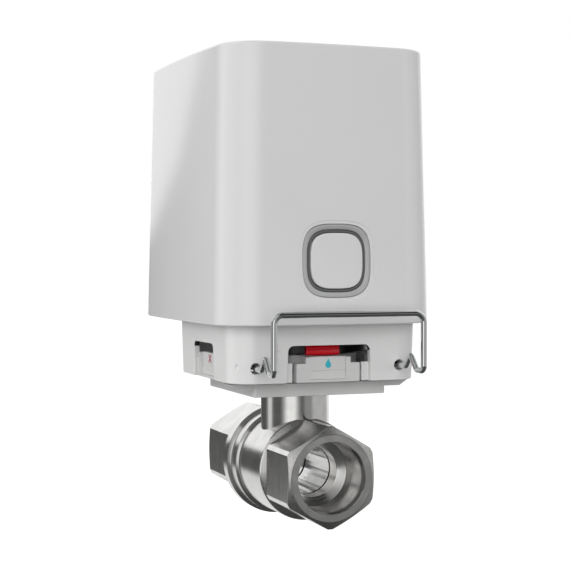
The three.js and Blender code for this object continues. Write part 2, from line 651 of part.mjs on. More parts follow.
function batteryDoor() {
  return cut(union([
    box([-DOOR.halfX, DOOR.halfX], DOOR.y, [PANEL_Z[0], 56.4]),
    box([-DOOR.earHalf, DOOR.earHalf], DOOR.earY, [PANEL_Z[0], 55.6]),
  ]), [
    ...DOOR_SCREWS.map(([x, y]) => cylinderZ(1.6, [50, 60], x, y, 10)),
    ...DOOR_SCREWS.map(([x, y]) => cylinderZ(2.4, [50, 54.9], x, y, 12)),
  ]);
}

// screw pointing up, its head's underside at z
function screw([x, y], headZ, headR, shankR, headHeight, length) {
  const profile = [
    [0, headZ - headHeight], [headR, headZ - headHeight], [headR, headZ],
    [shankR, headZ], [shankR, headZ + length], [0, headZ + length],
  ];
  return latheZ(profile, 10).translate([x, y, 0]);
}

place('cover', cover(), 'whiteShell');
place('bottom_panel', bottomPanel(), 'whitePlastic');
place('battery_door', batteryDoor(), 'whitePlastic');
COVER_SCREWS.forEach((at, i) => place(`cover_screw_${i + 1}`, screw(at, 55.4, 2.6, 1.4, 1, 11.5), 'steel'));
BASE_SCREWS.forEach((at, i) => place(`base_screw_${i + 1}`, screw(at, 46.2, 2.7, 1.4, 1.5, 14), 'steel'));
DOOR_SCREWS.forEach((at, i) => place(`door_screw_${i + 1}`, screw(at, 54.6, 2, 1.2, 0.9, 4.8), 'steel'));

// ---------- button ----------
const buttonFrame = new THREE.Group();
buttonFrame.position.set(0, coverFrontY(BUTTON_Z), BUTTON_Z);
buttonFrame.rotation.x = BUTTON_TILT;
object.add(buttonFrame);

function lightRing() {
  const body = extrudeY(squircle(LIGHT_SIZE), [0.25, 3.3]);
  const flange = extrudeY(squircle(LIGHT_SIZE, 1.2), [COVER_WALL + 0.35, 3.3]);
  return body.add(flange).subtract(extrudeY(squircle(BEZEL_SIZE, GAP), [-1, 5]));
}

function buttonCap() {
  const cap = extrudeY(squircle(BUTTON_SIZE), [0.1, 4]);
  const flange = extrudeY(squircle(BUTTON_SIZE, 0.8), [3.6, 4.4]);
  return union([cap, flange, cylinderY(1.8, [4, 4.9], 0, 0, 14)]);
}

place('light_ring', lightRing(), 'greyPlastic', buttonFrame);
place('button_bezel', extrudeY(squircle(BEZEL_SIZE), [0.9, 3.2])
  .subtract(extrudeY(squircle(BUTTON_SIZE, GAP), [-1, 5])), 'darkPlastic', buttonFrame);
place('button_cap', buttonCap(), 'whiteShell', buttonFrame);

// ---------- gear train ----------
// involute gear outline with a tooth centred on the +X axis; with a count lower than the number of
// teeth it is a sector, its last tooth on +X, closed by a plain rim of the root radius
function gearOutline(teeth, count = teeth) {
  const pitchR = MODULE * teeth / 2;
  const baseR = pitchR * Math.cos(PRESSURE);
  const tipR = pitchR + MODULE * 0.95;
  const rootR = pitchR - MODULE * 1.25;
  const involute = (r) => Math.sqrt(Math.max((r / baseR) ** 2 - 1, 0)) - Math.acos(Math.min(baseR / r, 1));
  const halfTooth = Math.PI / (2 * teeth) - BACKLASH / 2 / pitchR;
  const halfAngle = (r) => halfTooth + involute(pitchR) - involute(Math.max(r, baseR));
  const flankR = Math.max(baseR, rootR + 0.1);
  const flank = teeth > 30 ? [flankR, tipR] : [flankR, pitchR, tipR];
  const at = (r, angle) => new THREE.Vector2(r * Math.cos(angle), r * Math.sin(angle));
  const points = [];
  for (let i = 0; i < count; i += 1) {
    const centre = (i - count + 1) * 2 * Math.PI / teeth;
    points.push(at(rootR, centre - halfAngle(baseR)));
    for (const r of flank) points.push(at(r, centre - halfAngle(r)));
    for (const r of [...flank].reverse()) points.push(at(r, centre + halfAngle(r)));
    points.push(at(rootR, centre + halfAngle(baseR)));
  }
  const open = (teeth - count) * 2 * Math.PI / teeth;
  const rimSteps = 12;
  for (let i = 1; i < rimSteps && open > 0; i += 1) points.push(at(rootR, i * open / rimSteps));
  return points;
}

function gear(teeth, z, phase, count = teeth) {
  return extrudeZ(gearOutline(teeth, count), z).rotate([0, 0, phase * 180 / Math.PI]);
}

const pitchAngle = (teeth) => 2 * Math.PI / teeth;
const MAGNET_R = 15;

function outputGear() {
  const spare = 3;
  const teeth = gear(OUTPUT_TEETH, [60, 66], CLUSTER_ANGLE + spare * pitchAngle(OUTPUT_TEETH), OUTPUT_SECTOR);
  return cut(teeth.add(cylinderZ(8.5, [59.2, 70.3])), [
    box([-socket, socket], [-socket, socket], [50, 80]),
    cylinderZ(2.3, [62.9, 70], 0, -MAGNET_R, 14),
  ]);
}

function clusterGear() {
  const smallPhase = CLUSTER_ANGLE + Math.PI + pitchAngle(CLUSTER_TEETH[0]) / 2;
  const small = gear(CLUSTER_TEETH[0], [59.7, 66.8], smallPhase);
  const large = gear(CLUSTER_TEETH[1], [69, 72.5], MOTOR_ANGLE);
  const hub = cylinderZ(3.4, [57.6, 74], 0, 0, 16);
  return union([small, large, hub]).subtract(cylinderZ(1.8, [50, 80], 0, 0, 12)).translate([...CLUSTER, 0]);
}

function motorPinion() {
  const teeth = gear(PINION_TEETH, [68.6, 73.6], MOTOR_ANGLE + Math.PI + pitchAngle(PINION_TEETH) / 2);
  return teeth.add(cylinderZ(1.5, [68, 84], 0, 0, 16)).translate([...MOTOR, 0]);
}

function driveSpindle() {
  return union([
    box([-half, half], [-half, half], [44.3, 49.2]),
    cylinderZ(5.4, [48.9, 58.9]),
    box([-half, half], [-half, half], [58.8, 70]),
  ]).subtract(cylinderZ(1.6, [61, 75], 0, 0, 12));
}

function spindleBush() {
  return latheZ(ring([[5.8, 50.8], [8, 50.8], [8, 57.3], [10.5, 57.3], [10.5, 58.7], [5.8, 58.7]]));
}

function gearPlate() {
  const plate = extrudeZ(roundedRectangle(34, [-22, 40.3], 4, { arcSteps: 3 }), GEAR_PLATE_Z);
  return cut(plate.add(cylinderZ(2.5, [69.6, 77], 15.5, -15.5, 14)), [
    ...POSTS.map(([x, y]) => cylinderZ(1.7, [70, 80], x, y, 12)),
    cylinderZ(3.5, [70, 80], ...MOTOR, 18),
    cylinderZ(1.8, [70, 80], ...CLUSTER, 12),
  ]);
}

place('drive_spindle', driveSpindle(), 'steel', drive);
place('output_gear', outputGear(), 'acetal', drive);
place('spindle_screw', screw([0, 0], -70.6, 4.8, 1.3, 1.8, 8).rotate([180, 0, 0]), 'steel', drive);
place('position_magnet', cylinderZ(2, [63.2, 66], 0, -MAGNET_R, 12), 'steel', drive);
place('spindle_bush', spindleBush(), 'acetal');
place('cluster_gear', clusterGear(), 'acetal');
place('cluster_pin', cylinderZ(1.5, [54.6, 77.8], ...CLUSTER, 14), 'steel');
place('motor_pinion', motorPinion(), 'brass');
place('gear_plate', gearPlate(), 'darkPlastic');

function gearhead() {
  return latheZ([[0, 78.5], [11.6, 78.5], [12, 78.9], [12, 95], [0, 95]], 24)
    .translate([...MOTOR, 0]).subtract(cylinderZ(1.9, [70, 84.4], ...MOTOR, 16));
}

function motorCan() {
  return latheZ([
    [0, 95.3], [11.4, 95.3], [12.2, 96.1], [12.2, 119], [11.2, 120], [4, 120], [4, 122], [0, 122],
  ]).translate([...MOTOR, 0]);
}

place('gearhead', gearhead(), 'steel');
place('motor_can', motorCan(), 'steel');

// ---------- electronics ----------
function sensorBoard() {
  return box([-3, 20], [-20, -11], [68.1, 69.3]).add(box([11, 20], [-20, 3], [68.1, 69.3]));
}

function mainBoard() {
  return cut(box([-BOARD_HALF_X, BOARD_HALF_X], BOARD_Y, BOARD_Z),
    BOARD_PINS.map(([x, z]) => cylinderY(1.4, [-40, -20], x, z, 12)));
}

place('sensor_board', sensorBoard(), 'board');
place('hall_sensor_open', box([-2, 2], [-MAGNET_R - 1.5, -MAGNET_R + 1.5], [66.6, 67.8]), 'chip');
place('hall_sensor_closed', box([MAGNET_R - 1.5, MAGNET_R + 1.5], [-2, 2], [66.6, 67.8]), 'chip');
place('main_board', mainBoard(), 'board');
place('tact_switch', box(
  [-3, 3], [BOARD_Y[0] - 2.2, BOARD_Y[0] - GAP], [BUTTON_Z - 3, BUTTON_Z + 3],
), 'darkPlastic');
place('radio_shield', box([-17, -3], [BOARD_Y[1] + GAP, BOARD_Y[1] + 2.8], [90, 106]), 'steel');
place('controller_chip', box([-6, 3], [BOARD_Y[1] + GAP, BOARD_Y[1] + 1.3], [63, 72]), 'chip');
place('ring_led', box([-1.6, 1.6], [BOARD_Y[0] - 1.3, BOARD_Y[0] - GAP], [85, 87]), 'ptfe');

// ---------- cells ----------
function cell(x) {
  const top = CELL_Z + CELL_LENGTH;
  return latheZ([[0, CELL_Z], [7.9, CELL_Z], [CELL_R, CELL_Z + 0.6], [CELL_R, top - 2], [7.6, top - 1.4],
    [3.2, top - 1.4], [3.2, top], [0, top]], 16).translate([x, CELL_Y, 0]);
}

const cellX = [-1.5, -0.5, 0.5, 1.5].map((k) => k * CELL_PITCH);

function batteryHolder() {
  const cradle = box([-35.4, 35.4], [40.9, CELL_Y], [57.3, 96]);
  return cut(cradle, [
    ...cellX.map((x) => cylinderZ(CELL_R + GAP + 0.2, [50, 100], x, CELL_Y, 20)),
    box([-3.5, 3.5], [40, 42], [57, 61]),
  ]);
}

cellX.forEach((x, i) => place(`cell_${i + 1}`, cell(x), 'cellWrap'));
place('battery_holder', batteryHolder(), 'darkPlastic');
place('contact_strip_bottom', box([-34, 34], [50.3, 55], [59.4, 59.9]), 'steel');
place('contact_strip_top', box([-34, 34], [50.3, 55], [95.4, 95.9]), 'steel');

export default object;
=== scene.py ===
"""Looks of the motorized valve actuator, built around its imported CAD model."""
import math

import bmesh
import bpy
from mathutils import Matrix, Vector


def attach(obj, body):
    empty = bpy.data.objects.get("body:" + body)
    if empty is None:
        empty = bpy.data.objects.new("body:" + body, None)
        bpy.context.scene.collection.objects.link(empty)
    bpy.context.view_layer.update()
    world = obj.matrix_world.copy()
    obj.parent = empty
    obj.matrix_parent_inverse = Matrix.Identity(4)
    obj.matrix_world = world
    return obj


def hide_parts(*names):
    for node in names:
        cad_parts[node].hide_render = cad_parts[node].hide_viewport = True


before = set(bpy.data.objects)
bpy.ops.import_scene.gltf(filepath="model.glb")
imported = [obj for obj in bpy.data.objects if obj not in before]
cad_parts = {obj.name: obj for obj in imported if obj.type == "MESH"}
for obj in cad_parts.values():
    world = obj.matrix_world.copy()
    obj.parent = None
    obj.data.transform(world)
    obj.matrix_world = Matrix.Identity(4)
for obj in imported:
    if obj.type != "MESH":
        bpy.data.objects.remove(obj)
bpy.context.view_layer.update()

MM = 0.001

# ---------- dimensions of the visible shapes, in millimetres, as in the CAD model ----------
# the pipe runs along Y through the origin and the stem stands along Z
# valve
HEX_AF = 32
HEX_TURNED_R = 17.95             # the hexagons' corners are turned down to this
HEX_FACE_R = HEX_AF / 2 - 0.85   # where the chamfer meets the end face
HEX_EDGE = 0.22
PORT_R = 12.1
PORT_MOUTH_R = 12.5
PORT_MOUTH_DEPTH = 2.8
PORT_DEPTH = 15.9
FLOW_R = 8.8
FRONT_FACE_Y = -35.4
FRONT_HEX_BACK_Y = -13.2
CAP_BACK_Y = 53.7
CAP_HEX_FRONT_Y = 26.3
BODY_BACK_Y = 16.2
CAVITY_R = 15.6
BARREL_R = 18.35
BAND_R = 19.4                    # raised band at the back of the barrel
CAP_BAND_R = 20.5                # wider band of the end cap, next to it
NECK_R = 12.47
NECK_TOP_Z = 27.4
THREAD_R = 9.5                   # threaded end of the neck, through the adapter plate
THREAD_TOP_Z = 35.2
# hole for the stem, in three steps: radius, lower and upper end, and sides of its mesh
STEM_HOLES = [(6.6, (5, 18), 48), (4.9, (10, 30), 48), (7.9, (22, 36.2), 64)]

# adapter plate
PLATE_HALF = 24.9
PLATE_CORNER = 1.2
PLATE_Z = (27.7, 32.3)
POCKET_Z = 31
PLATE_BORE_R = 9.8
GUIDE_WALL_R = 22.4
GUIDE_WALL = 2
TAB_FRONT_Y = -32
TAB_SIDE_X = 34.1
TAB_Z = (33, 41.9)
TAB_STEP_Z = 39.6
TAB_BACK = 3.3
# half widths of a tab's panel, upper frame and foot, and how deep the panel lies in the frame
FRONT_TAB = {"panel": 6.5, "flank": 8.4, "shoulder": 11.8, "recess": 0.25}
SIDE_TAB = {"panel": 8.4, "flank": 9.3, "shoulder": 10.9, "recess": 1.4}
ARM_TOP_Z = 36
FOOT_X = (24.4, 30.55, 33.8)     # root, lower corner and upper corner of a slanting foot
FOOT_Y = (0.15 - PLATE_HALF, -18)
FOOT_Z = (30.35, 32.55)
LUG_X = (23.8, 29.9)
LUG_HALF_Y = 9.35
LUG_TOP_Z = 41

# base
BASE_HALF_X = 35.2
BASE_Y = (-32.9, 34)
BASE_DRAFT = 0.025
BASE_CORNER = 9
BASE_CROWN = 0.3
BASE_FOOT = 0.35                 # rounding of the lower edge
BASE_Z = (33, 53.1)
BASE_WALL = 2.2
BASE_CEILING_Z = 50.4
BASE_SCREWS = [(-25.5, -24), (25.5, -24), (-25.5, 26), (25.5, 26)]
BASE_BOSS_R = 3.2
BASE_BOSS_Z = (46.5, 51)
BASE_PILOT_Z = (40, 60)
WINDOW_TOP_Z = 45.8
WINDOW_CORNER = 2
WINDOW_HALF = 15.2
SIDE_WINDOW_HALF = 11.2
RAIL_X = (12.95, 17)             # guide rails inside the front wall
RAIL_TOP_Z = 39.7
WIRE_X = 26.8
WIRE_Z = 38.3
WIRE_HOLE_R = 1.85
WIRE_HOLE_MOUTH_R = 2.15
SPINDLE_HOLE_R = 8.3
PILOT_R = 1.8                    # screw holes in the bosses of the base and of the cover

# indicator
DISC_R = 27
DISC_Z = (42.4, 46)
HUB_R = 9
HUB_Z = (36.2, 48.6)
SOCKET_HALF = 3.5
POINTER_R = 27.8
POINTER_HALF = 6.25
POINTER_SEAT_R = 18.7
FIT = 0.3                        # gap round a part that sits in another

# cover
COVER_HALF_X = 39.06
COVER_Y = (-38.28, 68.55)
COVER_Z = (53.1, 148.8)
COVER_CROWN = 2
COVER_CORNER = 13
COVER_WALL = 2.3
COVER_DRAFT = 0.0206
COVER_FOOT = 0.45
COVER_FILLET = 0.8
COVER_SCREWS = [(-32, -31), (32, -31), (-32, 61.3), (32, 61.3)]
COVER_BOSS_R = 3.4
COVER_BOSS_Z = (57.3, 74)
COVER_PILOT_Z = (50, 68)

# button
BUTTON_Z = 75
BUTTON_SIZE = 19
BEZEL_SIZE = 21.2
LIGHT_SIZE = 24.9
SQUARENESS = 3.3                 # exponent of the superellipse that all three follow
# section of the cover's opening: (growth of the light ring's outline, depth behind the cover's face)
LIP_PROFILE = [
    (1.6, -0.5), (1.32, -0.02), (1.25, 0.14), (1.1, 0.17), (0.3, 0.18), (0.18, 0.25), (0.12, 0.42),
    (0.1, 0.8), (0.1, 5),
]

# wire clip
WIRE_R = 1.095                   # a hair under the CAD wire, so that the mesh stays in the CAD box
WIRE_GAP = 0.5                   # round the wire in the lugs
CLIP_TIP_Y = 1.5
CLIP_LEG_X = 27.2
CLIP_BAR_Y = -51
CLIP_BAR_Z = 57.25
CLIP_LOW_Z = 37.45


# ---------- mesh tools: everything is drawn in millimetres and scaled when it is finished ----------
def mesh_object(name, points, faces):
    """Object made of points and faces, in the scene."""
    mesh = bpy.data.meshes.new(name)
    mesh.from_pydata([tuple(p) for p in points], [], faces)
    mesh.update()
    shape = bpy.data.objects.new(name, mesh)
    bpy.context.scene.collection.objects.link(shape)
    return shape


def orient(shape):
    """Turns every face outwards."""
    bm = bmesh.new()
    bm.from_mesh(shape.data)
    bmesh.ops.recalc_face_normals(bm, faces=bm.faces)
    if bm.calc_volume(signed=True) < 0:
        bmesh.ops.reverse_faces(bm, faces=bm.faces)
    bm.to_mesh(shape.data)
    bm.free()
    return shape


def loft(name, rings, closed=False):
    """Skin through rings of points, with flat ends, or joined end to end when it is closed."""
    count = len(rings[0])
    points = [p for ring in rings for p in ring]
    faces = []
    for i in range(len(rings) if closed else len(rings) - 1):
        a, b = i * count, (i + 1) % len(rings) * count
        for j in range(count):
            k = (j + 1) % count
            faces.append((a + j, a + k, b + k, b + j))
    if not closed:
        faces.append(tuple(range(count)))
        faces.append(tuple(range(len(points) - count, len(points))))
    return orient(mesh_object(name, points, faces))


def lathe(name, profile, axis, segments=96, centre=(0, 0, 0), closed=False):
    """Turned solid. The profile is (radius, position along the axis), with no radius of zero."""
    rings = []
    for r, t in profile:
        ring = []
        for i in range(segments):
            a = i * math.tau / segments
            across = (r * math.cos(a), r * math.sin(a))
            p = (across[0], t, across[1]) if axis == "Y" else (across[0], across[1], t)
            ring.append(Vector(p) + Vector(centre))
        rings.append(ring)
    return loft(name, rings, closed)


def cylinder(name, radius, ends, axis, segments, centre=(0, 0, 0)):
    """Plain cylinder between two places along the axis."""
    return lathe(name, [(radius, t) for t in ends], axis, segments, centre)


def box(name, x, y, z):
    """Box from its (low, high) pairs."""
    low = [(x[0], y[0], z[0]), (x[1], y[0], z[0]), (x[1], y[1], z[0]), (x[0], y[1], z[0])]
    high = [(px, py, z[1]) for px, py, _ in low]
    return loft(name, [low, high])


def prism(name, outline, low, high, axis):
    """Outline drawn in the plane across the axis: (x, y) for Z, (x, z) for Y, (y, z) for X."""
    place = {
        "X": lambda a, b, t: (t, a, b),
        "Y": lambda a, b, t: (a, t, b),
        "Z": lambda a, b, t: (a, b, t),
    }[axis]
    return loft(name, [[place(a, b, t) for a, b in outline] for t in (low, high)])


def settle(shape):
    """Applies the modifiers of a shape."""
    evaluated = shape.evaluated_get(bpy.context.evaluated_depsgraph_get())
    result = bpy.data.meshes.new_from_object(evaluated)
    shape.modifiers.clear()
    old, shape.data = shape.data, result
    bpy.data.meshes.remove(old)
    return shape


def combine(shape, tools, operation):
    """Applies a boolean with each tool in turn and deletes the tools."""
    for tool in tools:
        step = shape.modifiers.new("combine", "BOOLEAN")
        step.operation, step.object, step.solver = operation, tool, "EXACT"
    settle(shape)
    for tool in tools:
        mesh = tool.data
        bpy.data.objects.remove(tool)
        bpy.data.meshes.remove(mesh)
    return shape


def cut(shape, tools):
    return combine(shape, tools, "DIFFERENCE")


def join(shape, tools):
    return combine(shape, tools, "UNION")


def soften(shape, width, segments=3, angle=35, clamp=True):
    """Rounds the edges that are sharper than the angle."""
    bevel = shape.modifiers.new("bevel", "BEVEL")
    bevel.width, bevel.segments = width, segments
    bevel.limit_method, bevel.angle_limit = "ANGLE", math.radians(angle)
    bevel.use_clamp_overlap = clamp
    bevel.miter_outer = "MITER_ARC"
    return settle(shape)


def turn(shape, angle):
    """Turns a shape about the stem axis, in degrees."""
    shape.data.transform(Matrix.Rotation(math.radians(angle), 4, "Z"))
    return shape


def finish_piece(shape, body, nodes, materials, smooth=32):
    """Scales a piece to metres, shades it, gives it its body and material slots, and hides the CAD nodes that
    it replaces.
    """
    bm = bmesh.new()
    bm.from_mesh(shape.data)
    bmesh.ops.remove_doubles(bm, verts=bm.verts, dist=0.0005)
    for face in bm.faces:
        face.smooth = True
    for edge in bm.edges:
        edge.smooth = len(edge.link_faces) == 2 and edge.calc_face_angle(0) < math.radians(smooth)
    bm.to_mesh(shape.data)
    bm.free()
    shape.data.materials.clear()
    for material in materials:
        shape.data.materials.append(material)
    weighted = shape.modifiers.new("weighted", "WEIGHTED_NORMAL")
    weighted.keep_sharp = True
    settle(shape)
    shape.data.transform(Matrix.Scale(MM, 4))
    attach(shape, body)
    if nodes:
        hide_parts(*nodes)


def paint_faces(shape, pick):
    """Gives each face of a finished piece the material index that pick returns for its centre and normal."""
    for polygon in shape.data.polygons:
        polygon.material_index = pick(polygon.center / MM, polygon.normal)


# ---------- outlines ----------
def rounded_rectangle(half_x, y_range, radius, crown, arc_steps, side_steps):
    """Rectangle with round corners whose sides bulge by the crown between their ends."""
    middle, half_y = (y_range[0] + y_range[1]) / 2, (y_range[1] - y_range[0]) / 2
    corners = [(1, 1), (-1, 1), (-1, -1), (1, -1)]

    def on_arc(quarter, part):
        sx, sy = corners[quarter % 4]
        a = (quarter + part) * math.pi / 2
        return Vector((
            sx * (half_x - radius) + radius * math.cos(a),
            sy * (half_y - radius) + radius * math.sin(a),
        ))

    bare = []
    for quarter in range(4):
        bare += [on_arc(quarter, i / arc_steps) for i in range(arc_steps + 1)]
        last, following = bare[-1], on_arc(quarter + 1, 0)
        bare += [last.lerp(following, i / side_steps) for i in range(1, side_steps)]
    return [
        (
            p.x * (1 + crown * (1 - (p.y / half_y) ** 2) / half_x),
            middle + p.y * (1 + crown * (1 - (p.x / half_x) ** 2) / half_y),
        )
        for p in bare
    ]


def squircle(size, grow=0.0):
    """Superellipse: a square outline with bowed sides and soft corners."""
    half, count = size / 2 + grow, 160

    def bowed(value):
        return half * math.copysign(abs(value) ** (2 / SQUARENESS), value)

    angles = [math.tau * i / count for i in range(count)]
    return [(bowed(math.cos(a)), bowed(math.sin(a))) for a in angles]


def drafted(outline, z, slope, start_z, half_x, y_range):
    """The outline at height z, each side drawn in by the slope above start_z."""
    middle, half_y = (y_range[0] + y_range[1]) / 2, (y_range[1] - y_range[0]) / 2
    inward = slope * (z - start_z)
    return [
        (x * (1 - inward / half_x), middle + (y - middle) * (1 - inward / half_y), z)
        for x, y in outline
    ]


# ---------- materials ----------
def new_material(name):
    """A material, its node tree and its shader."""
    material = bpy.data.materials.new(name)
    material.use_nodes = True
    return material, material.node_tree, material.node_tree.nodes["Principled BSDF"]


def node(tree, kind, inputs=None, **settings):
    """Adds a node, sets its attributes, and sets or links its inputs."""
    made = tree.nodes.new("ShaderNode" + kind)
    for key, value in settings.items():
        setattr(made, key, value)
    for key, value in (inputs or {}).items():
        if isinstance(value, bpy.types.NodeSocket):
            tree.links.new(value, made.inputs[key])
        else:
            made.inputs[key].default_value = value
    return made


def noise(tree, scale, detail=2.0, stretch=(1, 1, 1)):
    """Noise in the piece's own space; scale is in features per metre."""
    space = node(tree, "TexCoord").outputs["Object"]
    placed = node(tree, "Mapping", {"Vector": space, "Scale": stretch}).outputs["Vector"]
    inputs = {"Vector": placed, "Scale": scale, "Detail": detail}
    return node(tree, "TexNoise", inputs).outputs["Fac"]


def between(tree, factor, low, high, spread=(0.35, 0.65)):
    """Numbers or colours from low to high as the factor crosses the spread."""
    if isinstance(low, tuple):
        ramp = node(tree, "ValToRGB", {"Fac": factor})
        ramp.color_ramp.elements[0].position = spread[0]
        ramp.color_ramp.elements[1].position = spread[1]
        ramp.color_ramp.elements[0].color = (*low, 1)
        ramp.color_ramp.elements[1].color = (*high, 1)
        return ramp.outputs["Color"]
    inputs = {
        "Value": factor, "From Min": spread[0], "From Max": spread[1], "To Min": low, "To Max": high,
    }
    return node(tree, "MapRange", inputs).outputs["Result"]


def bump(tree, height, depth, strength=1.0):
    """Bump of a given depth in metres."""
    inputs = {"Height": height, "Distance": depth, "Strength": strength}
    return node(tree, "Bump", inputs).outputs["Normal"]


def moulded(name, colour, roughness, grain=0.00001, grain_scale=2500, spread=0.04, coat=0.0):
    """Injection-moulded plastic: fine spark-eroded grain and slight flow marks."""
    material, tree, shader = new_material(name)
    fine = noise(tree, grain_scale, 3)
    broad = noise(tree, 30, 2)
    darker = tuple(c * (1 - spread) for c in colour)
    tree.links.new(between(tree, broad, darker, colour), shader.inputs["Base Color"])
    rough = between(tree, fine, roughness * 0.9, roughness * 1.12)
    tree.links.new(rough, shader.inputs["Roughness"])
    tree.links.new(bump(tree, fine, grain, 0.6), shader.inputs["Normal"])
    shader.inputs["Coat Weight"].default_value = coat
    shader.inputs["Coat Roughness"].default_value = 0.08
    return material


def metal(name, colour, roughness, grain, grain_scale, stretch=(1, 1, 1), spread=0.12, swing=0.3):
    """Metal whose grain may be stretched along its machining marks."""
    material, tree, shader = new_material(name)
    fine = noise(tree, grain_scale, 3, stretch)
    patches = noise(tree, 140, 3)
    darker = tuple(c * (1 - spread) for c in colour)
    tree.links.new(between(tree, patches, darker, colour), shader.inputs["Base Color"])
    rough = between(tree, fine, roughness * (1 - swing), roughness * (1 + swing))
    tree.links.new(rough, shader.inputs["Roughness"])
    tree.links.new(bump(tree, fine, grain, 0.8), shader.inputs["Normal"])
    shader.inputs["Metallic"].default_value = 1
    return material


SHELL = moulded("shell_white", (0.72, 0.72, 0.72), 0.12, grain=0.000004, grain_scale=1800, spread=0.015)
WHITE = moulded("base_white", (0.76, 0.76, 0.755), 0.36, grain=0.000008, grain_scale=2200, spread=0.03)
# the base's white made darker: painted shade for the plate under the base's overhang
SHADED_PLATE_WHITE = moulded("plate_white", (0.64, 0.64, 0.635), 0.36, grain=0.000008, grain_scale=2200, spread=0.03)
BLACK = moulded("disc_black", (0.004, 0.004, 0.0045), 0.3, spread=0.3)
RED = moulded("pointer_red", (0.8, 0.004, 0.016), 0.12, grain=0.000002, spread=0.2, coat=0.8)
DARK = moulded("dark_plastic", (0.045, 0.045, 0.048), 0.42, spread=0.15)
RING = moulded("light_guide", (0.44, 0.44, 0.44), 0.3, grain=0.000004, spread=0.06)
BEZEL = moulded("bezel_grey", (0.13, 0.13, 0.132), 0.4, spread=0.1)
NICKEL_CAST = metal("nickel_blasted", (0.62, 0.615, 0.6), 0.34, 0.00004, 2600)
NICKEL_TURNED = metal("nickel_turned", (0.74, 0.735, 0.72), 0.19, 0.000006, 900, (0.15, 6, 0.15))
NICKEL_NECK = metal("nickel_neck", (0.72, 0.715, 0.7), 0.13, 0.000003, 900, (0.15, 0.15, 6))
CHROME = metal("wire_chrome", (0.72, 0.73, 0.74), 0.03, 0.0000005, 1500, (1, 1, 0.2), 0.05)
STEEL = metal("zinc_steel", (0.5, 0.51, 0.53), 0.32, 0.000008, 1600)
BRASS = metal("brass", (0.6, 0.43, 0.17), 0.28, 0.000008, 1400)
BALL_CHROME = metal("ball_chrome", (0.72, 0.72, 0.72), 0.12, 0.000003, 1200)
PTFE = moulded("ptfe", (0.83, 0.82, 0.78), 0.5, spread=0.05)
RUBBER = moulded("nitrile", (0.02, 0.02, 0.02), 0.7, grain=0.00002, spread=0.25)
ACETAL = moulded("acetal", (0.78, 0.75, 0.66), 0.4, spread=0.06)
CHIP = moulded("chip_epoxy", (0.015, 0.015, 0.017), 0.5, grain=0.00001, spread=0.2)
TEAL = moulded("mark_teal", (0.045, 0.5, 0.62), 0.4, spread=0.12)
CRIMSON = moulded("mark_crimson", (0.36, 0.02, 0.06), 0.4, spread=0.15)


def board_material():
    """Solder mask over copper tracks."""
    material, tree, shader = new_material("solder_mask")
    space = node(tree, "TexCoord").outputs["Object"]
    tracks = node(tree, "TexBrick", {
        "Vector": space, "Scale": 220, "Color1": (0, 0, 0, 1), "Color2": (0, 0, 0, 1),
        "Mortar": (1, 1, 1, 1), "Mortar Size": 0.06,
    }).outputs["Color"]
    green, bright = (0.012, 0.085, 0.03), (0.03, 0.17, 0.07)
    tree.links.new(between(tree, tracks, green, bright, (0.2, 0.8)), shader.inputs["Base Color"])
    tree.links.new(bump(tree, tracks, 0.00004), shader.inputs["Normal"])
    shader.inputs["Roughness"].default_value = 0.3
    return material


def cell_material():
    """Printed film round a lithium cell, with a plain band near its top."""
    material, tree, shader = new_material("cell_film")
    height = node(tree, "SeparateXYZ", {"Vector": node(tree, "TexCoord").outputs["Object"]}).outputs["Z"]
    band = between(tree, height, (0.03, 0.11, 0.3), (0.55, 0.56, 0.57), (0.0848, 0.0852))
    tree.links.new(band, shader.inputs["Base Color"])
    film = noise(tree, 300, 2)
    tree.links.new(between(tree, film, 0.24, 0.34), shader.inputs["Roughness"])
    tree.links.new(bump(tree, film, 0.00001), shader.inputs["Normal"])
    return material


BOARD = board_material()
CELL_FILM = cell_material()


# ---------- cover ----------
COVER_MIDDLE_Y = (COVER_Y[0] + COVER_Y[1]) / 2
COVER_HALF_Y = (COVER_Y[1] - COVER_Y[0]) / 2
BUTTON_TILT = -math.atan(COVER_DRAFT)


def cover_ring(inset, z):
    """The cover's outline at height z, drawn in all round by the inset."""
    outline = rounded_rectangle(
        COVER_HALF_X - inset, (COVER_Y[0] + inset, COVER_Y[1] - inset), COVER_CORNER - inset,
        COVER_CROWN, 20, 24,
    )
    return drafted(outline, z, COVER_DRAFT, COVER_Z[0], COVER_HALF_X, COVER_Y)


def cover_front_y(z):
    """The middle of the front face at height z."""
    rise = COVER_DRAFT * (z - COVER_Z[0])
    return COVER_MIDDLE_Y - (COVER_HALF_Y + COVER_CROWN) * (1 - rise / COVER_HALF_Y)


def on_front_face(shape):
    """Moves a shape drawn about the button's centre, its face towards -Y, onto the drafted face."""
    shape.data.transform(Matrix.Rotation(BUTTON_TILT, 4, "X"))
    shape.data.transform(Matrix.Translation((0, cover_front_y(BUTTON_Z), BUTTON_Z)))
    return shape


def sag(x):
    """How far the crowned front face falls back at a distance x from its middle."""
    return COVER_CROWN * (x / COVER_HALF_X) ** 2


def fillet_rings(make_ring, z, radius, steps):
    """Rings that round an upper edge whose top is at z."""
    rings = []
    for i in range(steps + 1):
        a = math.pi / 2 * i / steps
        rings.append(make_ring(radius * (1 - math.cos(a)), z - radius + radius * math.sin(a)))
    return rings


def screw_bosses(places, radius, heights, hole_heights):
    """Bosses for screws, and the tools that drill them."""
    bosses, pilots = [], []
    for x, y in places:
        bosses.append(cylinder("boss", radius, heights, "Z", 24, (x, y, 0)))
        pilots.append(cylinder("pilot", PILOT_R, hole_heights, "Z", 20, (x, y, 0)))
    return bosses, pilots


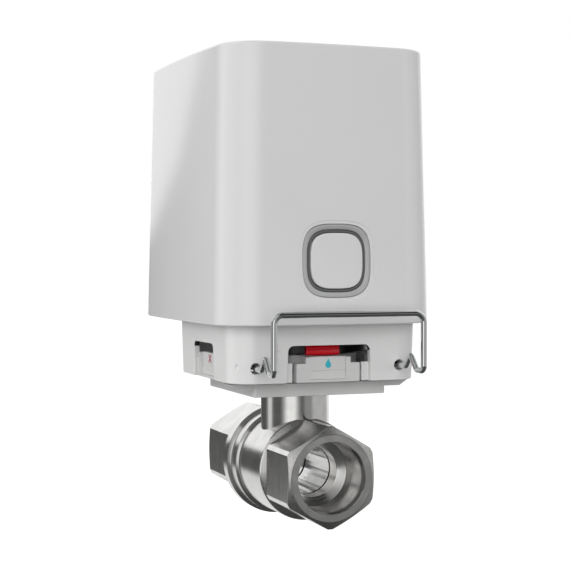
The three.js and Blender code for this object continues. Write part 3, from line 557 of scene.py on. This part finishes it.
def make_cover():
    """White shell, open below, with screw bosses and the button's opening."""
    low, top = COVER_Z
    foot_z, levels = low + COVER_FOOT, 6
    outside = [cover_ring(COVER_FOOT, low), cover_ring(COVER_FOOT * 0.3, low + COVER_FOOT * 0.3)]
    outside += [cover_ring(0, foot_z + (top - 10 - low) * i / levels) for i in range(levels + 1)]
    outside += fillet_rings(cover_ring, top, COVER_FILLET, 8)
    inside = [cover_ring(COVER_WALL, top - COVER_WALL), cover_ring(COVER_WALL, low)]
    shell = loft("cover_shell", outside[::-1] + inside[::-1])
    bosses, pilots = screw_bosses(COVER_SCREWS, COVER_BOSS_R, COVER_BOSS_Z, COVER_PILOT_Z)
    opening = on_front_face(loft("opening", [
        [(x, t + sag(x), z) for x, z in squircle(LIGHT_SIZE, grow)] for grow, t in LIP_PROFILE
    ]))
    join(shell, bosses)
    cut(shell, [opening, *pilots])
    finish_piece(shell, "body", ["cover"], [SHELL], 20)


make_cover()


# ---------- button ----------
def bowed_prism(name, size, face, back, radius, dome):
    """Squircle whose face, at local y = face, is slightly domed and has a rounded edge."""
    rim = squircle(size, -radius)
    rings, face_steps, edge_steps = [], 8, 6
    for i in range(1, face_steps + 1):
        share = i / face_steps
        lift = dome * (1 - share ** 2)
        rings.append([(x * share, face - lift + sag(x * share), z * share) for x, z in rim])
    for i in range(1, edge_steps + 1):
        a = i / edge_steps * math.pi / 2
        t = face + radius * (1 - math.cos(a))
        edge = squircle(size, -radius * (1 - math.sin(a)))
        rings.append([(x, t + sag(x), z) for x, z in edge])
    rings.append([(x, back, z) for x, z in squircle(size)])
    return loft(name, rings)


def band(name, profile):
    """Closed ring of a section given as (base size, grow, local y) points, in order round it."""
    rings = [[(x, t + sag(x), z) for x, z in squircle(size, grow)] for size, grow, t in profile]
    return loft(name, rings, closed=True)


def make_button():
    """Light ring, dark ring and push button, one inside the other."""
    guide = band("light_guide_ring", [
        (LIGHT_SIZE, 0, 0.55), (LIGHT_SIZE, -0.08, 0.35), (LIGHT_SIZE, -0.3, 0.27),
        (LIGHT_SIZE, -0.8, 0.34), (BEZEL_SIZE, 0.7, 0.55), (BEZEL_SIZE, 0.2, 0.75),
        (BEZEL_SIZE, 0.12, 0.95), (BEZEL_SIZE, 0.12, 3.2), (LIGHT_SIZE, 0, 3.2),
    ])
    finish_piece(on_front_face(guide), "body", ["light_ring"], [RING], 50)
    frame_band = band("button_frame", [
        (BEZEL_SIZE, 0, 1.2), (BEZEL_SIZE, -0.15, 1.0), (BUTTON_SIZE, 0.35, 1.0),
        (BUTTON_SIZE, 0.2, 1.2), (BUTTON_SIZE, 0.2, 3.0), (BEZEL_SIZE, 0, 3.0),
    ])
    finish_piece(on_front_face(frame_band), "body", ["button_bezel"], [BEZEL], 50)
    key = bowed_prism("button_key", BUTTON_SIZE, face=0.05, back=4, radius=0.4, dome=0.05)
    join(key, [
        prism("key_flange", squircle(BUTTON_SIZE, 0.8), 3.6, 4.4, "Y"),
        cylinder("key_stem", 1.8, (4.2, 4.9), "Y", 24),
    ])
    finish_piece(on_front_face(key), "button", ["button_cap"], [SHELL], 40)


make_button()


# ---------- base ----------
def window(half_width):
    """Window outline, open downwards and a little wider at its foot."""
    right = [(half_width + 0.5, BASE_Z[0] - 1)]
    centre_x, centre_z, steps = half_width - WINDOW_CORNER, WINDOW_TOP_Z - WINDOW_CORNER, 8
    for i in range(steps + 1):
        a = i / steps * math.pi / 2
        right.append((centre_x + WINDOW_CORNER * math.cos(a), centre_z + WINDOW_CORNER * math.sin(a)))
    return right + [(-x, z) for x, z in reversed(right)]


def base_ring(inset, z):
    """The base's outline at height z, drawn in all round by the inset."""
    outline = rounded_rectangle(
        BASE_HALF_X - inset, (BASE_Y[0] + inset, BASE_Y[1] - inset), BASE_CORNER - inset,
        BASE_CROWN, 14, 10,
    )
    return drafted(outline, z, -BASE_DRAFT, BASE_Z[1], BASE_HALF_X, BASE_Y)


def dimple(x, y, z, across, tall, depth, angle=0):
    """Egg-shaped tool that leaves a shallow dent, centred on a point of the wall."""
    bm = bmesh.new()
    bmesh.ops.create_uvsphere(bm, u_segments=24, v_segments=12, radius=1)
    mesh = bpy.data.meshes.new("dimple")
    bm.to_mesh(mesh)
    bm.free()
    tool = bpy.data.objects.new("dimple", mesh)
    bpy.context.scene.collection.objects.link(tool)
    mesh.transform(Matrix.Diagonal((across / 2, depth, tall / 2, 1)))
    mesh.transform(Matrix.Rotation(math.radians(angle), 4, "Z"))
    mesh.transform(Matrix.Translation((x, y, z)))
    return tool


def make_skirt():
    """Hollow box with a rounded lower edge and a window in each wall."""
    low, high = BASE_Z
    skirt = loft("base_skirt", [
        base_ring(BASE_FOOT, low), base_ring(BASE_FOOT * 0.3, low + BASE_FOOT * 0.3),
        base_ring(0, low + BASE_FOOT), base_ring(0, high - 0.2), base_ring(0.2, high),
    ])
    hollow = loft("hollow", [base_ring(BASE_WALL, low - 1), base_ring(BASE_WALL, BASE_CEILING_Z)])
    cut(skirt, [hollow])
    windows = []
    for half, axis in ((WINDOW_HALF, "Y"), (SIDE_WINDOW_HALF, "X")):
        for near, far in ((-60, -25), (25, 60)):
            windows.append(prism("window", window(half), near, far, axis))
    cut(skirt, windows)
    return soften(skirt, 0.22, 3, 50, clamp=False)


def make_base():
    """Skirt with rails, screw bosses, the clip's holes and two small dents, with black painted shade on its
    inside above the disc.
    """
    skirt = make_skirt()
    front = BASE_Y[0]
    rails, wire_holes = [], []
    for side in (-1, 1):
        x = sorted(side * edge for edge in RAIL_X)
        rail = box("rail", x, (front + 1.95, front + 3.6), (BASE_Z[0] + 0.05, RAIL_TOP_Z))
        rails.append(soften(rail, 0.25))
        wire_holes.append(lathe("hole", [
            (WIRE_HOLE_MOUTH_R, -40), (WIRE_HOLE_MOUTH_R, front + 0.45), (WIRE_HOLE_R, front + 0.8),
            (WIRE_HOLE_R, -25),
        ], "Y", 32, (side * WIRE_X, 0, WIRE_Z)))
    bosses, pilots = screw_bosses(BASE_SCREWS, BASE_BOSS_R, BASE_BOSS_Z, BASE_PILOT_Z)
    join(skirt, rails + bosses)
    spindle_hole = cylinder("hole", SPINDLE_HOLE_R, (45, 60), "Z", 48)
    dents = [
        dimple(-18.9, front + 0.05, 43.75, across=0.9, tall=1.8, depth=0.35),
        dimple(-32.9, -29.75, 38.6, across=1.7, tall=2.7, depth=0.7, angle=-49),
    ]
    cut(skirt, wire_holes + pilots + [spindle_hole] + dents)
    # the second slot, black, is painted shade on the inside of the wall and the ceiling
    finish_piece(skirt, "body", ["base_housing"], [WHITE, BLACK], 30)

    def painted_shade_inside(centre, normal):
        """Painted shade: the inside of the wall and the ceiling, above the foot of the disc, take the black
        slot to stand for the dark interior.
        """
        inwards = normal.x * centre.x + normal.y * centre.y < -5 or normal.z < -0.9
        return inwards and DISC_Z[0] - 0.6 < centre.z < BASE_CEILING_Z + 0.1

    # the faces picked here are painted black: painted shade of the dark interior seen through the windows
    paint_faces(skirt, lambda centre, normal: int(painted_shade_inside(centre, normal)))


make_base()


# ---------- adapter plate ----------
def tab(reach, panel, flank, shoulder, recess):
    """Tab towards -Y: a stepped frame round a recessed panel, which leans out to a lip at its foot."""
    face = -reach
    low, high = TAB_Z
    back, frame_z = face + TAB_BACK, high - 0.2
    half = [(shoulder, low), (shoulder, TAB_STEP_Z), (flank, TAB_STEP_Z), (flank, frame_z)]
    frame_plate = prism("tab_frame", [(-x, z) for x, z in half] + half[::-1], face, back, "Y")
    soften(frame_plate, 0.18, 3)
    slot_x = (-panel - 0.04, panel + 0.04)
    cut(frame_plate, [box("slot", slot_x, (face - 1, face + recess + 0.9), (low + 1, 50))])
    panel_y = face + recess
    plate = prism("tab_panel", [
        (back - 0.02, low + 0.4), (panel_y + 0.05, low + 0.4), (panel_y - 0.2, 33.9),
        (panel_y - 0.55, 34.1), (panel_y - 0.47, 34.45), (panel_y - 0.19, 34.6), (panel_y - 0.06, 36.85),
        (panel_y + 0.22, 37.0), (panel_y, 37.16), (panel_y, high - 0.3), (panel_y + 0.3, high),
        (back - 0.02, high),
    ], -panel, panel, "X")
    soften(plate, 0.08, 2, 40)
    return join(frame_plate, [plate])


def make_plate():
    """Square plate with rounded edges, and the round wall that guides the disc."""
    def plate_ring(inset, z):
        half = PLATE_HALF - inset
        outline = rounded_rectangle(half, (-half, half), PLATE_CORNER - inset, 0, 8, 1)
        return [(x, y, z) for x, y in outline]

    low, high = PLATE_Z
    plate = loft("adapter", [plate_ring(inset, z) for inset, z in (
        (0.3, low), (0.09, low + 0.09), (0, low + 0.3), (0, high - 0.2), (0.06, high - 0.06), (0.2, high),
    )])
    outer_r, inner_r, foot_z, top_z, edge = GUIDE_WALL_R, GUIDE_WALL_R - GUIDE_WALL, 29, TAB_Z[1], 0.3
    wall = lathe("wall", [
        (inner_r, foot_z), (outer_r, foot_z), (outer_r, top_z - edge), (outer_r - edge, top_z),
        (inner_r + edge, top_z), (inner_r, top_z - edge),
    ], "Z", 96, closed=True)
    return plate, wall


def make_tabs():
    """The four tabs, and the arms that carry them."""
    tabs, arms = [], []
    for reach, form, angles in ((-TAB_FRONT_Y, FRONT_TAB, (0, 180)), (TAB_SIDE_X, SIDE_TAB, (90, -90))):
        for angle in angles:
            half = form["shoulder"] - 0.3
            y = (TAB_BACK - 0.4 - reach, 6 - GUIDE_WALL_R)
            tabs.append(turn(tab(reach, **form), angle))
            arms.append(turn(box("arm", (-half, half), y, (TAB_Z[0] + 0.02, ARM_TOP_Z)), angle))
    return arms, tabs


def make_adapter():
    """Plate on the valve's neck, with tabs, feet and the lugs that the wire passes through."""
    plate, wall = make_plate()
    arms, tabs = make_tabs()
    feet, lugs, holes = [], [], []
    root, lower, upper = FOOT_X
    hole_r = WIRE_R + WIRE_GAP
    for side in (-1, 1):
        feet.append(prism("foot", [
            (side * root, FOOT_Z[0]), (side * lower, FOOT_Z[0]), (side * upper, FOOT_Z[1]),
            (side * root, FOOT_Z[1]),
        ], *FOOT_Y, "Y"))
        x = sorted(side * edge for edge in LUG_X)
        lug = box("lug", x, (-LUG_HALF_Y, LUG_HALF_Y), (TAB_Z[0] + 0.05, LUG_TOP_Z))
        lugs.append(soften(lug, 0.3))
        holes.append(cylinder("hole", hole_r, (-20, 20), "Y", 28, (side * WIRE_X, 0, WIRE_Z)))
    join(plate, [wall, *arms, *tabs, *feet, *lugs])
    inside = cylinder("inside", GUIDE_WALL_R - GUIDE_WALL - 0.02, (POCKET_Z, 45), "Z", 96)
    bore = cylinder("bore", PLATE_BORE_R, (20, 60), "Z", 64)
    cut(plate, [*holes, inside, bore])
    finish_piece(plate, "body", ["adapter_plate"], [SHADED_PLATE_WHITE], 35)


make_adapter()


# ---------- marks on the tabs: a drop for open, a cross for closed ----------
def drop_outline(z, half_width, height):
    """Water drop standing on its round end, with sides that run straight up to a point."""
    low, high = z - height / 2, z + height / 2
    centre = low + half_width
    touch = math.asin(half_width / (high - centre))
    points, steps = [], 24
    for i in range(steps + 1):
        a = math.pi - touch + (math.pi + 2 * touch) * i / steps
        points.append((half_width * math.cos(a), centre + half_width * math.sin(a)))
    return points + [(0.0, high)]


def mark(name, outline, face, angle, material):
    """Thin printed mark on a tab's face."""
    plate = prism(name, outline, face - 0.05, face + 0.3, "Y")
    finish_piece(turn(plate, angle), "body", [], [material])


def cross_outline(z, arm, half_thick):
    """Diagonal cross with blunt arms."""
    points = []
    for quarter in range(4):
        a = quarter * math.pi / 2 + math.pi / 4
        along = (math.cos(a), math.sin(a))
        across = (-math.sin(a), math.cos(a))
        for sign in (-1, 1):
            points.append((
                arm * along[0] + sign * half_thick * across[0],
                arm * along[1] + sign * half_thick * across[1],
            ))
        inner = quarter * math.pi / 2 + math.pi / 2
        reach = half_thick * math.sqrt(2)
        points.append((reach * math.cos(inner), reach * math.sin(inner)))
    return [(x, z + y) for x, y in points]


for side_name, angle in (("front", 0), ("back", 180)):
    face = TAB_FRONT_Y + FRONT_TAB["recess"]
    mark(f"drop_{side_name}", drop_outline(39.55, half_width=1.08, height=3.3), face, angle, TEAL)
for side_name, angle in (("left", -90), ("right", 90)):
    face = -TAB_SIDE_X + SIDE_TAB["recess"]
    mark(f"cross_{side_name}", cross_outline(39.85, arm=2, half_thick=0.3), face, angle, CRIMSON)


# ---------- indicator ----------
def make_disc():
    """Black disc on a square-socketed hub, with a seat for each pointer."""
    low, high = DISC_Z
    edge = 0.25
    disc = lathe("indicator", [
        (HUB_R, HUB_Z[0]), (HUB_R, low), (DISC_R - edge, low), (DISC_R, low + edge),
        (DISC_R, high - edge), (DISC_R - edge, high), (HUB_R, high), (HUB_R, HUB_Z[1] - 0.3),
        (HUB_R - 0.3, HUB_Z[1]),
    ], "Z", 128)
    socket = (-SOCKET_HALF - FIT, SOCKET_HALF + FIT)
    across = (-POINTER_HALF - FIT, POINTER_HALF + FIT)
    seats = [box("seat", across, sorted((side * POINTER_SEAT_R, side * 30)), (40, 50)) for side in (-1, 1)]
    cut(disc, [box("socket", socket, socket, (30, 43)), box("socket", socket, socket, (44, 50)), *seats])
    finish_piece(disc, "drive", ["indicator_rotor"], [BLACK], 35)


def make_pointer(name, angle):
    """Red block with a rounded outer face, a shallow groove and a lip over the disc's lower edge."""
    low, high = DISC_Z[0] - 0.35, DISC_Z[1] - 0.4
    across = (-POINTER_HALF, POINTER_HALF)
    block = box(name, across, (-30, -POINTER_SEAT_R - FIT), (DISC_Z[0], high))
    join(block, [box("lip", across, (-30, -GUIDE_WALL_R - 0.7), (low, high))])
    rim = lathe("rim", [
        (POINTER_R - 0.5, low - 1), (POINTER_R - 0.3, low), (POINTER_R, low + 0.5), (POINTER_R, 43.9),
        (POINTER_R - 0.25, 44.2), (POINTER_R - 0.25, 44.5), (POINTER_R - 0.05, 44.8),
        (POINTER_R - 0.2, high), (POINTER_R - 0.2, high + 3),
    ], "Z", 160)
    combine(block, [rim], "INTERSECT")
    soften(block, 0.18, 3, 50)
    finish_piece(turn(block, angle), "drive", [name], [RED], 35)


make_disc()
make_pointer("pointer_front", 0)
make_pointer("pointer_back", 180)


# ---------- wire clip ----------
def rounded_route(corners, steps=8):
    """Route through corners, each rounded with its own radius: (point, radius)."""
    route = [Vector(corners[0][0])]
    for i in range(1, len(corners) - 1):
        before, here, after = (Vector(corners[k][0]) for k in (i - 1, i, i + 1))
        towards, away = (before - here).normalized(), (after - here).normalized()
        half_angle = towards.angle(away) / 2
        back = corners[i][1] / math.tan(half_angle)
        centre = here + (towards + away).normalized() * corners[i][1] / math.sin(half_angle)
        first, last = here + towards * back - centre, here + away * back - centre
        sweep = first.angle(last)
        for k in range(steps + 1):
            share = k / steps
            route.append(centre + (
                first * math.sin((1 - share) * sweep) + last * math.sin(share * sweep)
            ) / math.sin(sweep))
    route.append(Vector(corners[-1][0]))
    return route


def tube(name, route, radius, sides=20):
    """Round wire along a route, with slightly rounded cut ends."""
    tangents = []
    for i in range(len(route)):
        before = route[i] - route[max(i - 1, 0)]
        after = route[min(i + 1, len(route) - 1)] - route[i]
        tangents.append((before.normalized() + after.normalized()).normalized())
    normal = tangents[0].orthogonal().normalized()
    angles = [k * math.tau / sides for k in range(sides)]
    end_r, end_length = radius * 0.7, 0.3
    rings = []
    for i, (point, tangent) in enumerate(zip(route, tangents)):
        normal = (normal - tangent * normal.dot(tangent)).normalized()
        side = tangent.cross(normal)
        spokes = [normal * math.cos(a) + side * math.sin(a) for a in angles]
        stations = [(0, radius)]
        if i == 0:
            stations = [(0, end_r), (end_length, radius)]
        elif i == len(route) - 1:
            stations = [(-end_length, radius), (0, end_r)]
        for step, r in stations:
            rings.append([point + tangent * step + spoke * r for spoke in spokes])
    return loft(name, rings)


def make_clip():
    """Wire from one hole, over the hump and up to the bar, and back down to the other hole."""
    half = [
        ((WIRE_X, CLIP_TIP_Y, WIRE_Z), 0), ((WIRE_X, -37.9, WIRE_Z), 1.3), ((WIRE_X, -41.7, 42.55), 1.12),
        ((WIRE_X + 0.15, -46.3, 37.5), 1.6), ((CLIP_LEG_X, CLIP_BAR_Y, CLIP_LOW_Z), 1.9),
        ((CLIP_LEG_X, CLIP_BAR_Y, CLIP_BAR_Z), 3.2),
    ]
    other = [((-p[0], p[1], p[2]), r) for p, r in reversed(half)]
    wire = tube("wire_clip", rounded_route(half + other), WIRE_R)
    finish_piece(wire, "clip", ["retaining_clip"], [CHROME], 45)


make_clip()


# ---------- valve ----------
def hex_end(face_y, back_y):
    """Wrench hexagon whose end face is chamfered at 30 degrees."""
    out = 1 if face_y > back_y else -1
    corner_r = HEX_AF / 2 / math.cos(math.pi / 6)
    corners = [(corner_r * math.sin(i * math.pi / 3), corner_r * math.cos(i * math.pi / 3)) for i in range(6)]
    block = prism("hex", corners, face_y, back_y, "Y")
    slope_y = face_y - out * (HEX_TURNED_R - HEX_FACE_R) * math.tan(math.pi / 6)
    cone = lathe("cone", [
        (HEX_FACE_R, face_y + out * 0.001), (HEX_FACE_R + 0.01, face_y), (HEX_TURNED_R, slope_y),
        (HEX_TURNED_R, back_y - out),
    ], "Y", 144)
    combine(block, [cone], "INTERSECT")
    return soften(block, HEX_EDGE, 3, 24)


def port_tool(face_y, flow_end):
    """Bore of the port: an opened-up mouth, a plain thread depth, and a cone down to the flow bore."""
    out = 1 if face_y > 0 else -1
    section = [
        (PORT_MOUTH_R + 0.6, -0.5), (PORT_MOUTH_R + 0.16, -0.02), (PORT_MOUTH_R + 0.02, 0.16),
        (PORT_R + 0.04, PORT_MOUTH_DEPTH - 0.15), (PORT_R, PORT_MOUTH_DEPTH),
        (PORT_R, PORT_DEPTH - 0.3), (PORT_R - 0.09, PORT_DEPTH - 0.09), (PORT_R - 0.3, PORT_DEPTH),
        (FLOW_R + 0.3, PORT_DEPTH + 0.95), (FLOW_R + 0.06, PORT_DEPTH + 1.08), (FLOW_R, PORT_DEPTH + 1.3),
    ]
    profile = [(r, face_y - out * depth) for r, depth in section]
    return lathe("port", [*profile, (FLOW_R, flow_end)], "Y", 144)


def on_blasted_end(centre, normal):
    """True on the end faces and chamfers of the hexagons, false in the bore and on the flats."""
    return math.hypot(centre.x, centre.z) > PORT_MOUTH_R + 0.1 and abs(normal.y) > 0.2


def make_valve_body():
    """Front hexagon, barrel with its shoulder and raised band, and the neck."""
    barrel = lathe("valve_barrel", [
        (CAVITY_R, -13.8), (15.75, -13.55), (16.3, -13.15), (17.8, -12.5), (18.2, -12.15),
        (BARREL_R, -11.75), (BARREL_R, 9.8), (BARREL_R + 0.1, 10.1),
        (BAND_R - 0.2, 10.6), (BAND_R, 10.85), (BAND_R, BODY_BACK_Y - 0.3), (BAND_R - 0.3, BODY_BACK_Y),
    ], "Y", 144)
    neck = lathe("neck", [
        (NECK_R, 0), (NECK_R, NECK_TOP_Z - 0.3), (NECK_R - 0.3, NECK_TOP_Z),
        (THREAD_R, NECK_TOP_Z + 0.02), (THREAD_R, THREAD_TOP_Z - 0.3), (THREAD_R - 0.3, THREAD_TOP_Z),
    ], "Z", 128)
    join(barrel, [hex_end(FRONT_FACE_Y, FRONT_HEX_BACK_Y), neck])
    cut(barrel, [
        port_tool(FRONT_FACE_Y, flow_end=0),
        cylinder("cavity", CAVITY_R, (-12.5, BODY_BACK_Y + 1), "Y", 96),
        *(cylinder("stem_hole", r, ends, "Z", sides) for r, ends, sides in STEM_HOLES),
    ])
    finish_piece(barrel, "body", ["valve_body"], [NICKEL_TURNED, NICKEL_CAST, NICKEL_NECK], 28)

    def pick(centre, normal):
        """Turned barrel and flats 0, blasted end 1, neck 2."""
        if centre.z > NECK_R and abs(centre.xy.length - NECK_R) < 0.4 and abs(normal.z) < 0.5:
            return 2
        return int(on_blasted_end(centre, normal) and centre.y < FRONT_HEX_BACK_Y + 0.8)

    paint_faces(barrel, pick)


def make_end_cap():
    """Wide band, cone and rear hexagon, with a spigot that screws into the body."""
    spigot_r = CAVITY_R - 0.3
    cap = lathe("valve_cap", [
        (spigot_r, 13), (spigot_r, 16.5), (BAND_R - 0.3, 16.5), (BAND_R, 16.7), (CAP_BAND_R - 0.3, 17.35),
        (CAP_BAND_R, 17.7), (CAP_BAND_R, 21.6), (CAP_BAND_R - 0.15, 22.1), (17.45, 31.9), (17.2, 32.4),
        (15.9, 34.5),
    ], "Y", 144)
    join(cap, [hex_end(CAP_BACK_Y, CAP_HEX_FRONT_Y)])
    cut(cap, [port_tool(CAP_BACK_Y, flow_end=10)])
    finish_piece(cap, "body", ["valve_end_cap"], [NICKEL_TURNED, NICKEL_CAST], 28)
    paint_faces(cap, lambda centre, normal: int(on_blasted_end(centre, normal) and centre.y > 32.5))


make_valve_body()
make_end_cap()


# ---------- finish of the CAD nodes that stay ----------
KEPT = {
    "ball": BALL_CHROME, "stem": BRASS, "stem_thrust_washer": PTFE, "stem_packing": PTFE,
    "gland_nut": BRASS, "cap_seal_ring": RUBBER, "seat_front": PTFE, "seat_rear": PTFE,
    "adapter_nut": NICKEL_TURNED, "base_gasket": RUBBER, "bottom_panel": WHITE, "battery_door": WHITE,
    "drive_spindle": STEEL, "output_gear": ACETAL, "spindle_screw": STEEL, "position_magnet": STEEL,
    "spindle_bush": ACETAL, "cluster_gear": ACETAL, "cluster_pin": STEEL, "motor_pinion": BRASS,
    "gear_plate": DARK, "gearhead": STEEL, "motor_can": STEEL, "sensor_board": BOARD,
    "hall_sensor_open": CHIP, "hall_sensor_closed": CHIP, "main_board": BOARD, "tact_switch": DARK,
    "radio_shield": STEEL, "controller_chip": CHIP, "ring_led": PTFE, "battery_holder": DARK,
    "contact_strip_bottom": STEEL, "contact_strip_top": STEEL,
    **{f"cell_{i}": CELL_FILM for i in (1, 2, 3, 4)},
    **{f"cover_screw_{i}": STEEL for i in (1, 2, 3, 4)},
    **{f"base_screw_{i}": STEEL for i in (1, 2, 3, 4)},
    **{f"door_screw_{i}": STEEL for i in (1, 2)},
}
for name, material in KEPT.items():
    for material_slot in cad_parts[name].material_slots:
        material_slot.material = material


# ---------- floor, light and camera, in metres ----------
FLOOR_HALF = 6
FLOOR_Z = -0.16
PART_MIDDLE = Vector((0, 0, 0.08))
CAMERA_PLACE = (-0.19074, -0.49051, 0.07733)
CAMERA_DIP = 0.0216              # below the horizontal, in radians
CAMERA_TURN = -0.3639            # from +Y, in radians
CAMERA_LENS = 90.75              # millimetres, on a 36 mm sensor


def make_floor():
    """Pale floor well below the part, left out of its reflections and of bounced light."""
    corners = [(x * FLOOR_HALF, y * FLOOR_HALF, 0) for x, y in ((-1, -1), (1, -1), (1, 1), (-1, 1))]
    floor = mesh_object("floor", corners, [(0, 1, 2, 3)])
    floor.location.z = FLOOR_Z
    material, tree, shader = new_material("floor_white")
    pale = between(tree, noise(tree, 3, 2), 0.86, 0.9)
    tree.links.new(pale, shader.inputs["Base Color"])
    shader.inputs["Roughness"].default_value = 0.9
    shader.inputs["Emission Color"].default_value = (1, 1, 1, 1)
    shader.inputs["Emission Strength"].default_value = 0.55
    floor.data.materials.append(material)
    floor.visible_glossy = False
    floor.visible_diffuse = False


# brightness round the horizon, by direction in degrees from +Y towards +X
HORIZON = [
    (-180, 0.16), (-171, 0.4), (-158, 1.2), (-134, 1.2), (-120, 0.42), (-109, 0.12), (-99, 0.12),
    (-84, 0.12), (-76, 0.3), (-72, 0.75), (-58, 0.75), (-53, 0.3), (-41, 0.1), (22, 0.1), (36, 0.9),
    (52, 1.1), (70, 0.6), (80, 0.53), (112, 0.6), (136, 0.6), (146, 0.34), (165, 0.34), (174, 0.16),
    (180, 0.16),
]
# brightness of the upper part
SKY = [
    (-180, 0.35), (-171, 0.6), (-131, 0.6), (-120, 0.5), (-60, 0.5), (-50, 1.1), (60, 1.1), (75, 0.75),
    (136, 0.75), (141, 0.04), (176, 0.04), (180, 0.3),
]
# height (sine of the elevation) above which the upper part begins
SKYLINE = [
    (-180, 0.35), (-60, 0.35), (-24, 0.2), (-21.5, 0.16), (-17, 0.08), (-9, 0.02), (30, 0.02),
    (60, 0.1), (90, 0.3), (136, 0.3), (141, -0.085), (176, -0.085), (180, 0.35),
]
# brightness below the horizon
GROUND = [
    (-180, 0.08), (-130, 0.1), (-90, 0.3), (-45, 0.8), (35, 0.9), (80, 0.35), (130, 0.08), (180, 0.06),
]
# heights (sine of the elevation) where the ground and the nadir end and the ceiling starts
GROUND_TOP = -0.2
NADIR_TOP = -0.75
CEILING_START = 0.88
# brightness straight below and straight above
NADIR = 0.07
CEILING = 0.2
SOFT_EDGE = 0.012


def studio():
    """Soft boxes round the object, seen in its reflections, with a plain white background."""
    world = bpy.data.worlds.new("studio")
    world.use_nodes = True
    bpy.context.scene.world = world
    tree = world.node_tree
    tree.nodes.clear()
    white = (1, 1, 1, 1)
    direction = node(tree, "TexCoord").outputs["Generated"]
    parts = node(tree, "SeparateXYZ", {"Vector": direction}).outputs
    angle = node(tree, "Math", {0: parts["X"], 1: parts["Y"]}, operation="ARCTAN2").outputs[0]
    share = node(tree, "MapRange", {
        "Value": angle, "From Min": -math.pi, "From Max": math.pi,
    }).outputs["Result"]

    def around(stops):
        """Value by direction, from the stops of a table."""
        ramp = node(tree, "ValToRGB", {"Fac": share})
        elements = ramp.color_ramp.elements
        elements[0].position, elements[1].position = 0.0, 1.0
        for degrees, _ in stops[1:-1]:
            elements.new((degrees + 180) / 360)
        for stop, (_, value) in zip(elements, stops):
            stop.color = (value, value, value, 1)
        return ramp.outputs["Color"]

    def blend_at(edge, softness, first, second):
        """The first colour below the edge's height and the second above it."""
        start = node(tree, "Math", {0: edge, 1: -softness}, operation="ADD").outputs[0]
        end = node(tree, "Math", {0: edge, 1: softness}, operation="ADD").outputs[0]
        step = node(tree, "MapRange", {
            "Value": parts["Z"], "From Min": start, "From Max": end,
        }, interpolation_type="SMOOTHSTEP").outputs["Result"]
        return node(tree, "Mix", {0: step, 6: first, 7: second}, data_type="RGBA").outputs[2]

    def plain_grey(value):
        """One value for every direction."""
        made = node(tree, "RGB")
        made.outputs[0].default_value = (value, value, value, 1)
        return made.outputs[0]

    upper = blend_at(around(SKYLINE), SOFT_EDGE, around(HORIZON), around(SKY))
    lower = blend_at(NADIR_TOP, 0.15, plain_grey(NADIR), around(GROUND))
    under = blend_at(GROUND_TOP, 0.05, lower, upper)
    whole = blend_at(CEILING_START, 0.06, under, plain_grey(CEILING))
    lit = node(tree, "Background", {"Color": whole, "Strength": 1.0}).outputs[0]
    plain = node(tree, "Background", {"Color": white, "Strength": 1.0}).outputs[0]
    seen = node(tree, "LightPath").outputs["Is Camera Ray"]
    final = node(tree, "MixShader", {0: seen, 1: lit, 2: plain}).outputs[0]
    node(tree, "OutputWorld", {"Surface": final})


def soft_box(name, place, size, power):
    """Square lamp aimed at the part's middle; the reflections come from the studio instead."""
    light = bpy.data.lights.new(name, "AREA")
    light.shape, light.size, light.energy = "SQUARE", size, power
    lamp = bpy.data.objects.new(name, light)
    bpy.context.scene.collection.objects.link(lamp)
    lamp.location = place
    lamp.rotation_mode = "QUATERNION"
    lamp.rotation_quaternion = (PART_MIDDLE - Vector(place)).to_track_quat("-Z", "Y")
    lamp.visible_glossy = False
    lamp.visible_camera = False


def make_camera():
    """Camera at the angle of the product picture."""
    data = bpy.data.cameras.new("camera")
    data.sensor_width, data.lens = 36, CAMERA_LENS
    camera = bpy.data.objects.new("camera", data)
    bpy.context.scene.collection.objects.link(camera)
    camera.location = CAMERA_PLACE
    camera.rotation_euler = (math.pi / 2 - CAMERA_DIP, 0, CAMERA_TURN)
    data.clip_start, data.clip_end = 0.01, 50
    bpy.context.scene.camera = camera


make_floor()
studio()
soft_box("key", (-0.5, -1.2, 0.35), 1.2, 10.1)
soft_box("fill", (1.1, -0.6, 0.2), 0.9, 3)
soft_box("left", (-1.1, 0.2, 0.3), 0.9, 5)
make_camera()
view_settings = bpy.context.scene.view_settings
view_settings.view_transform = "Standard"
view_settings.look = "None"
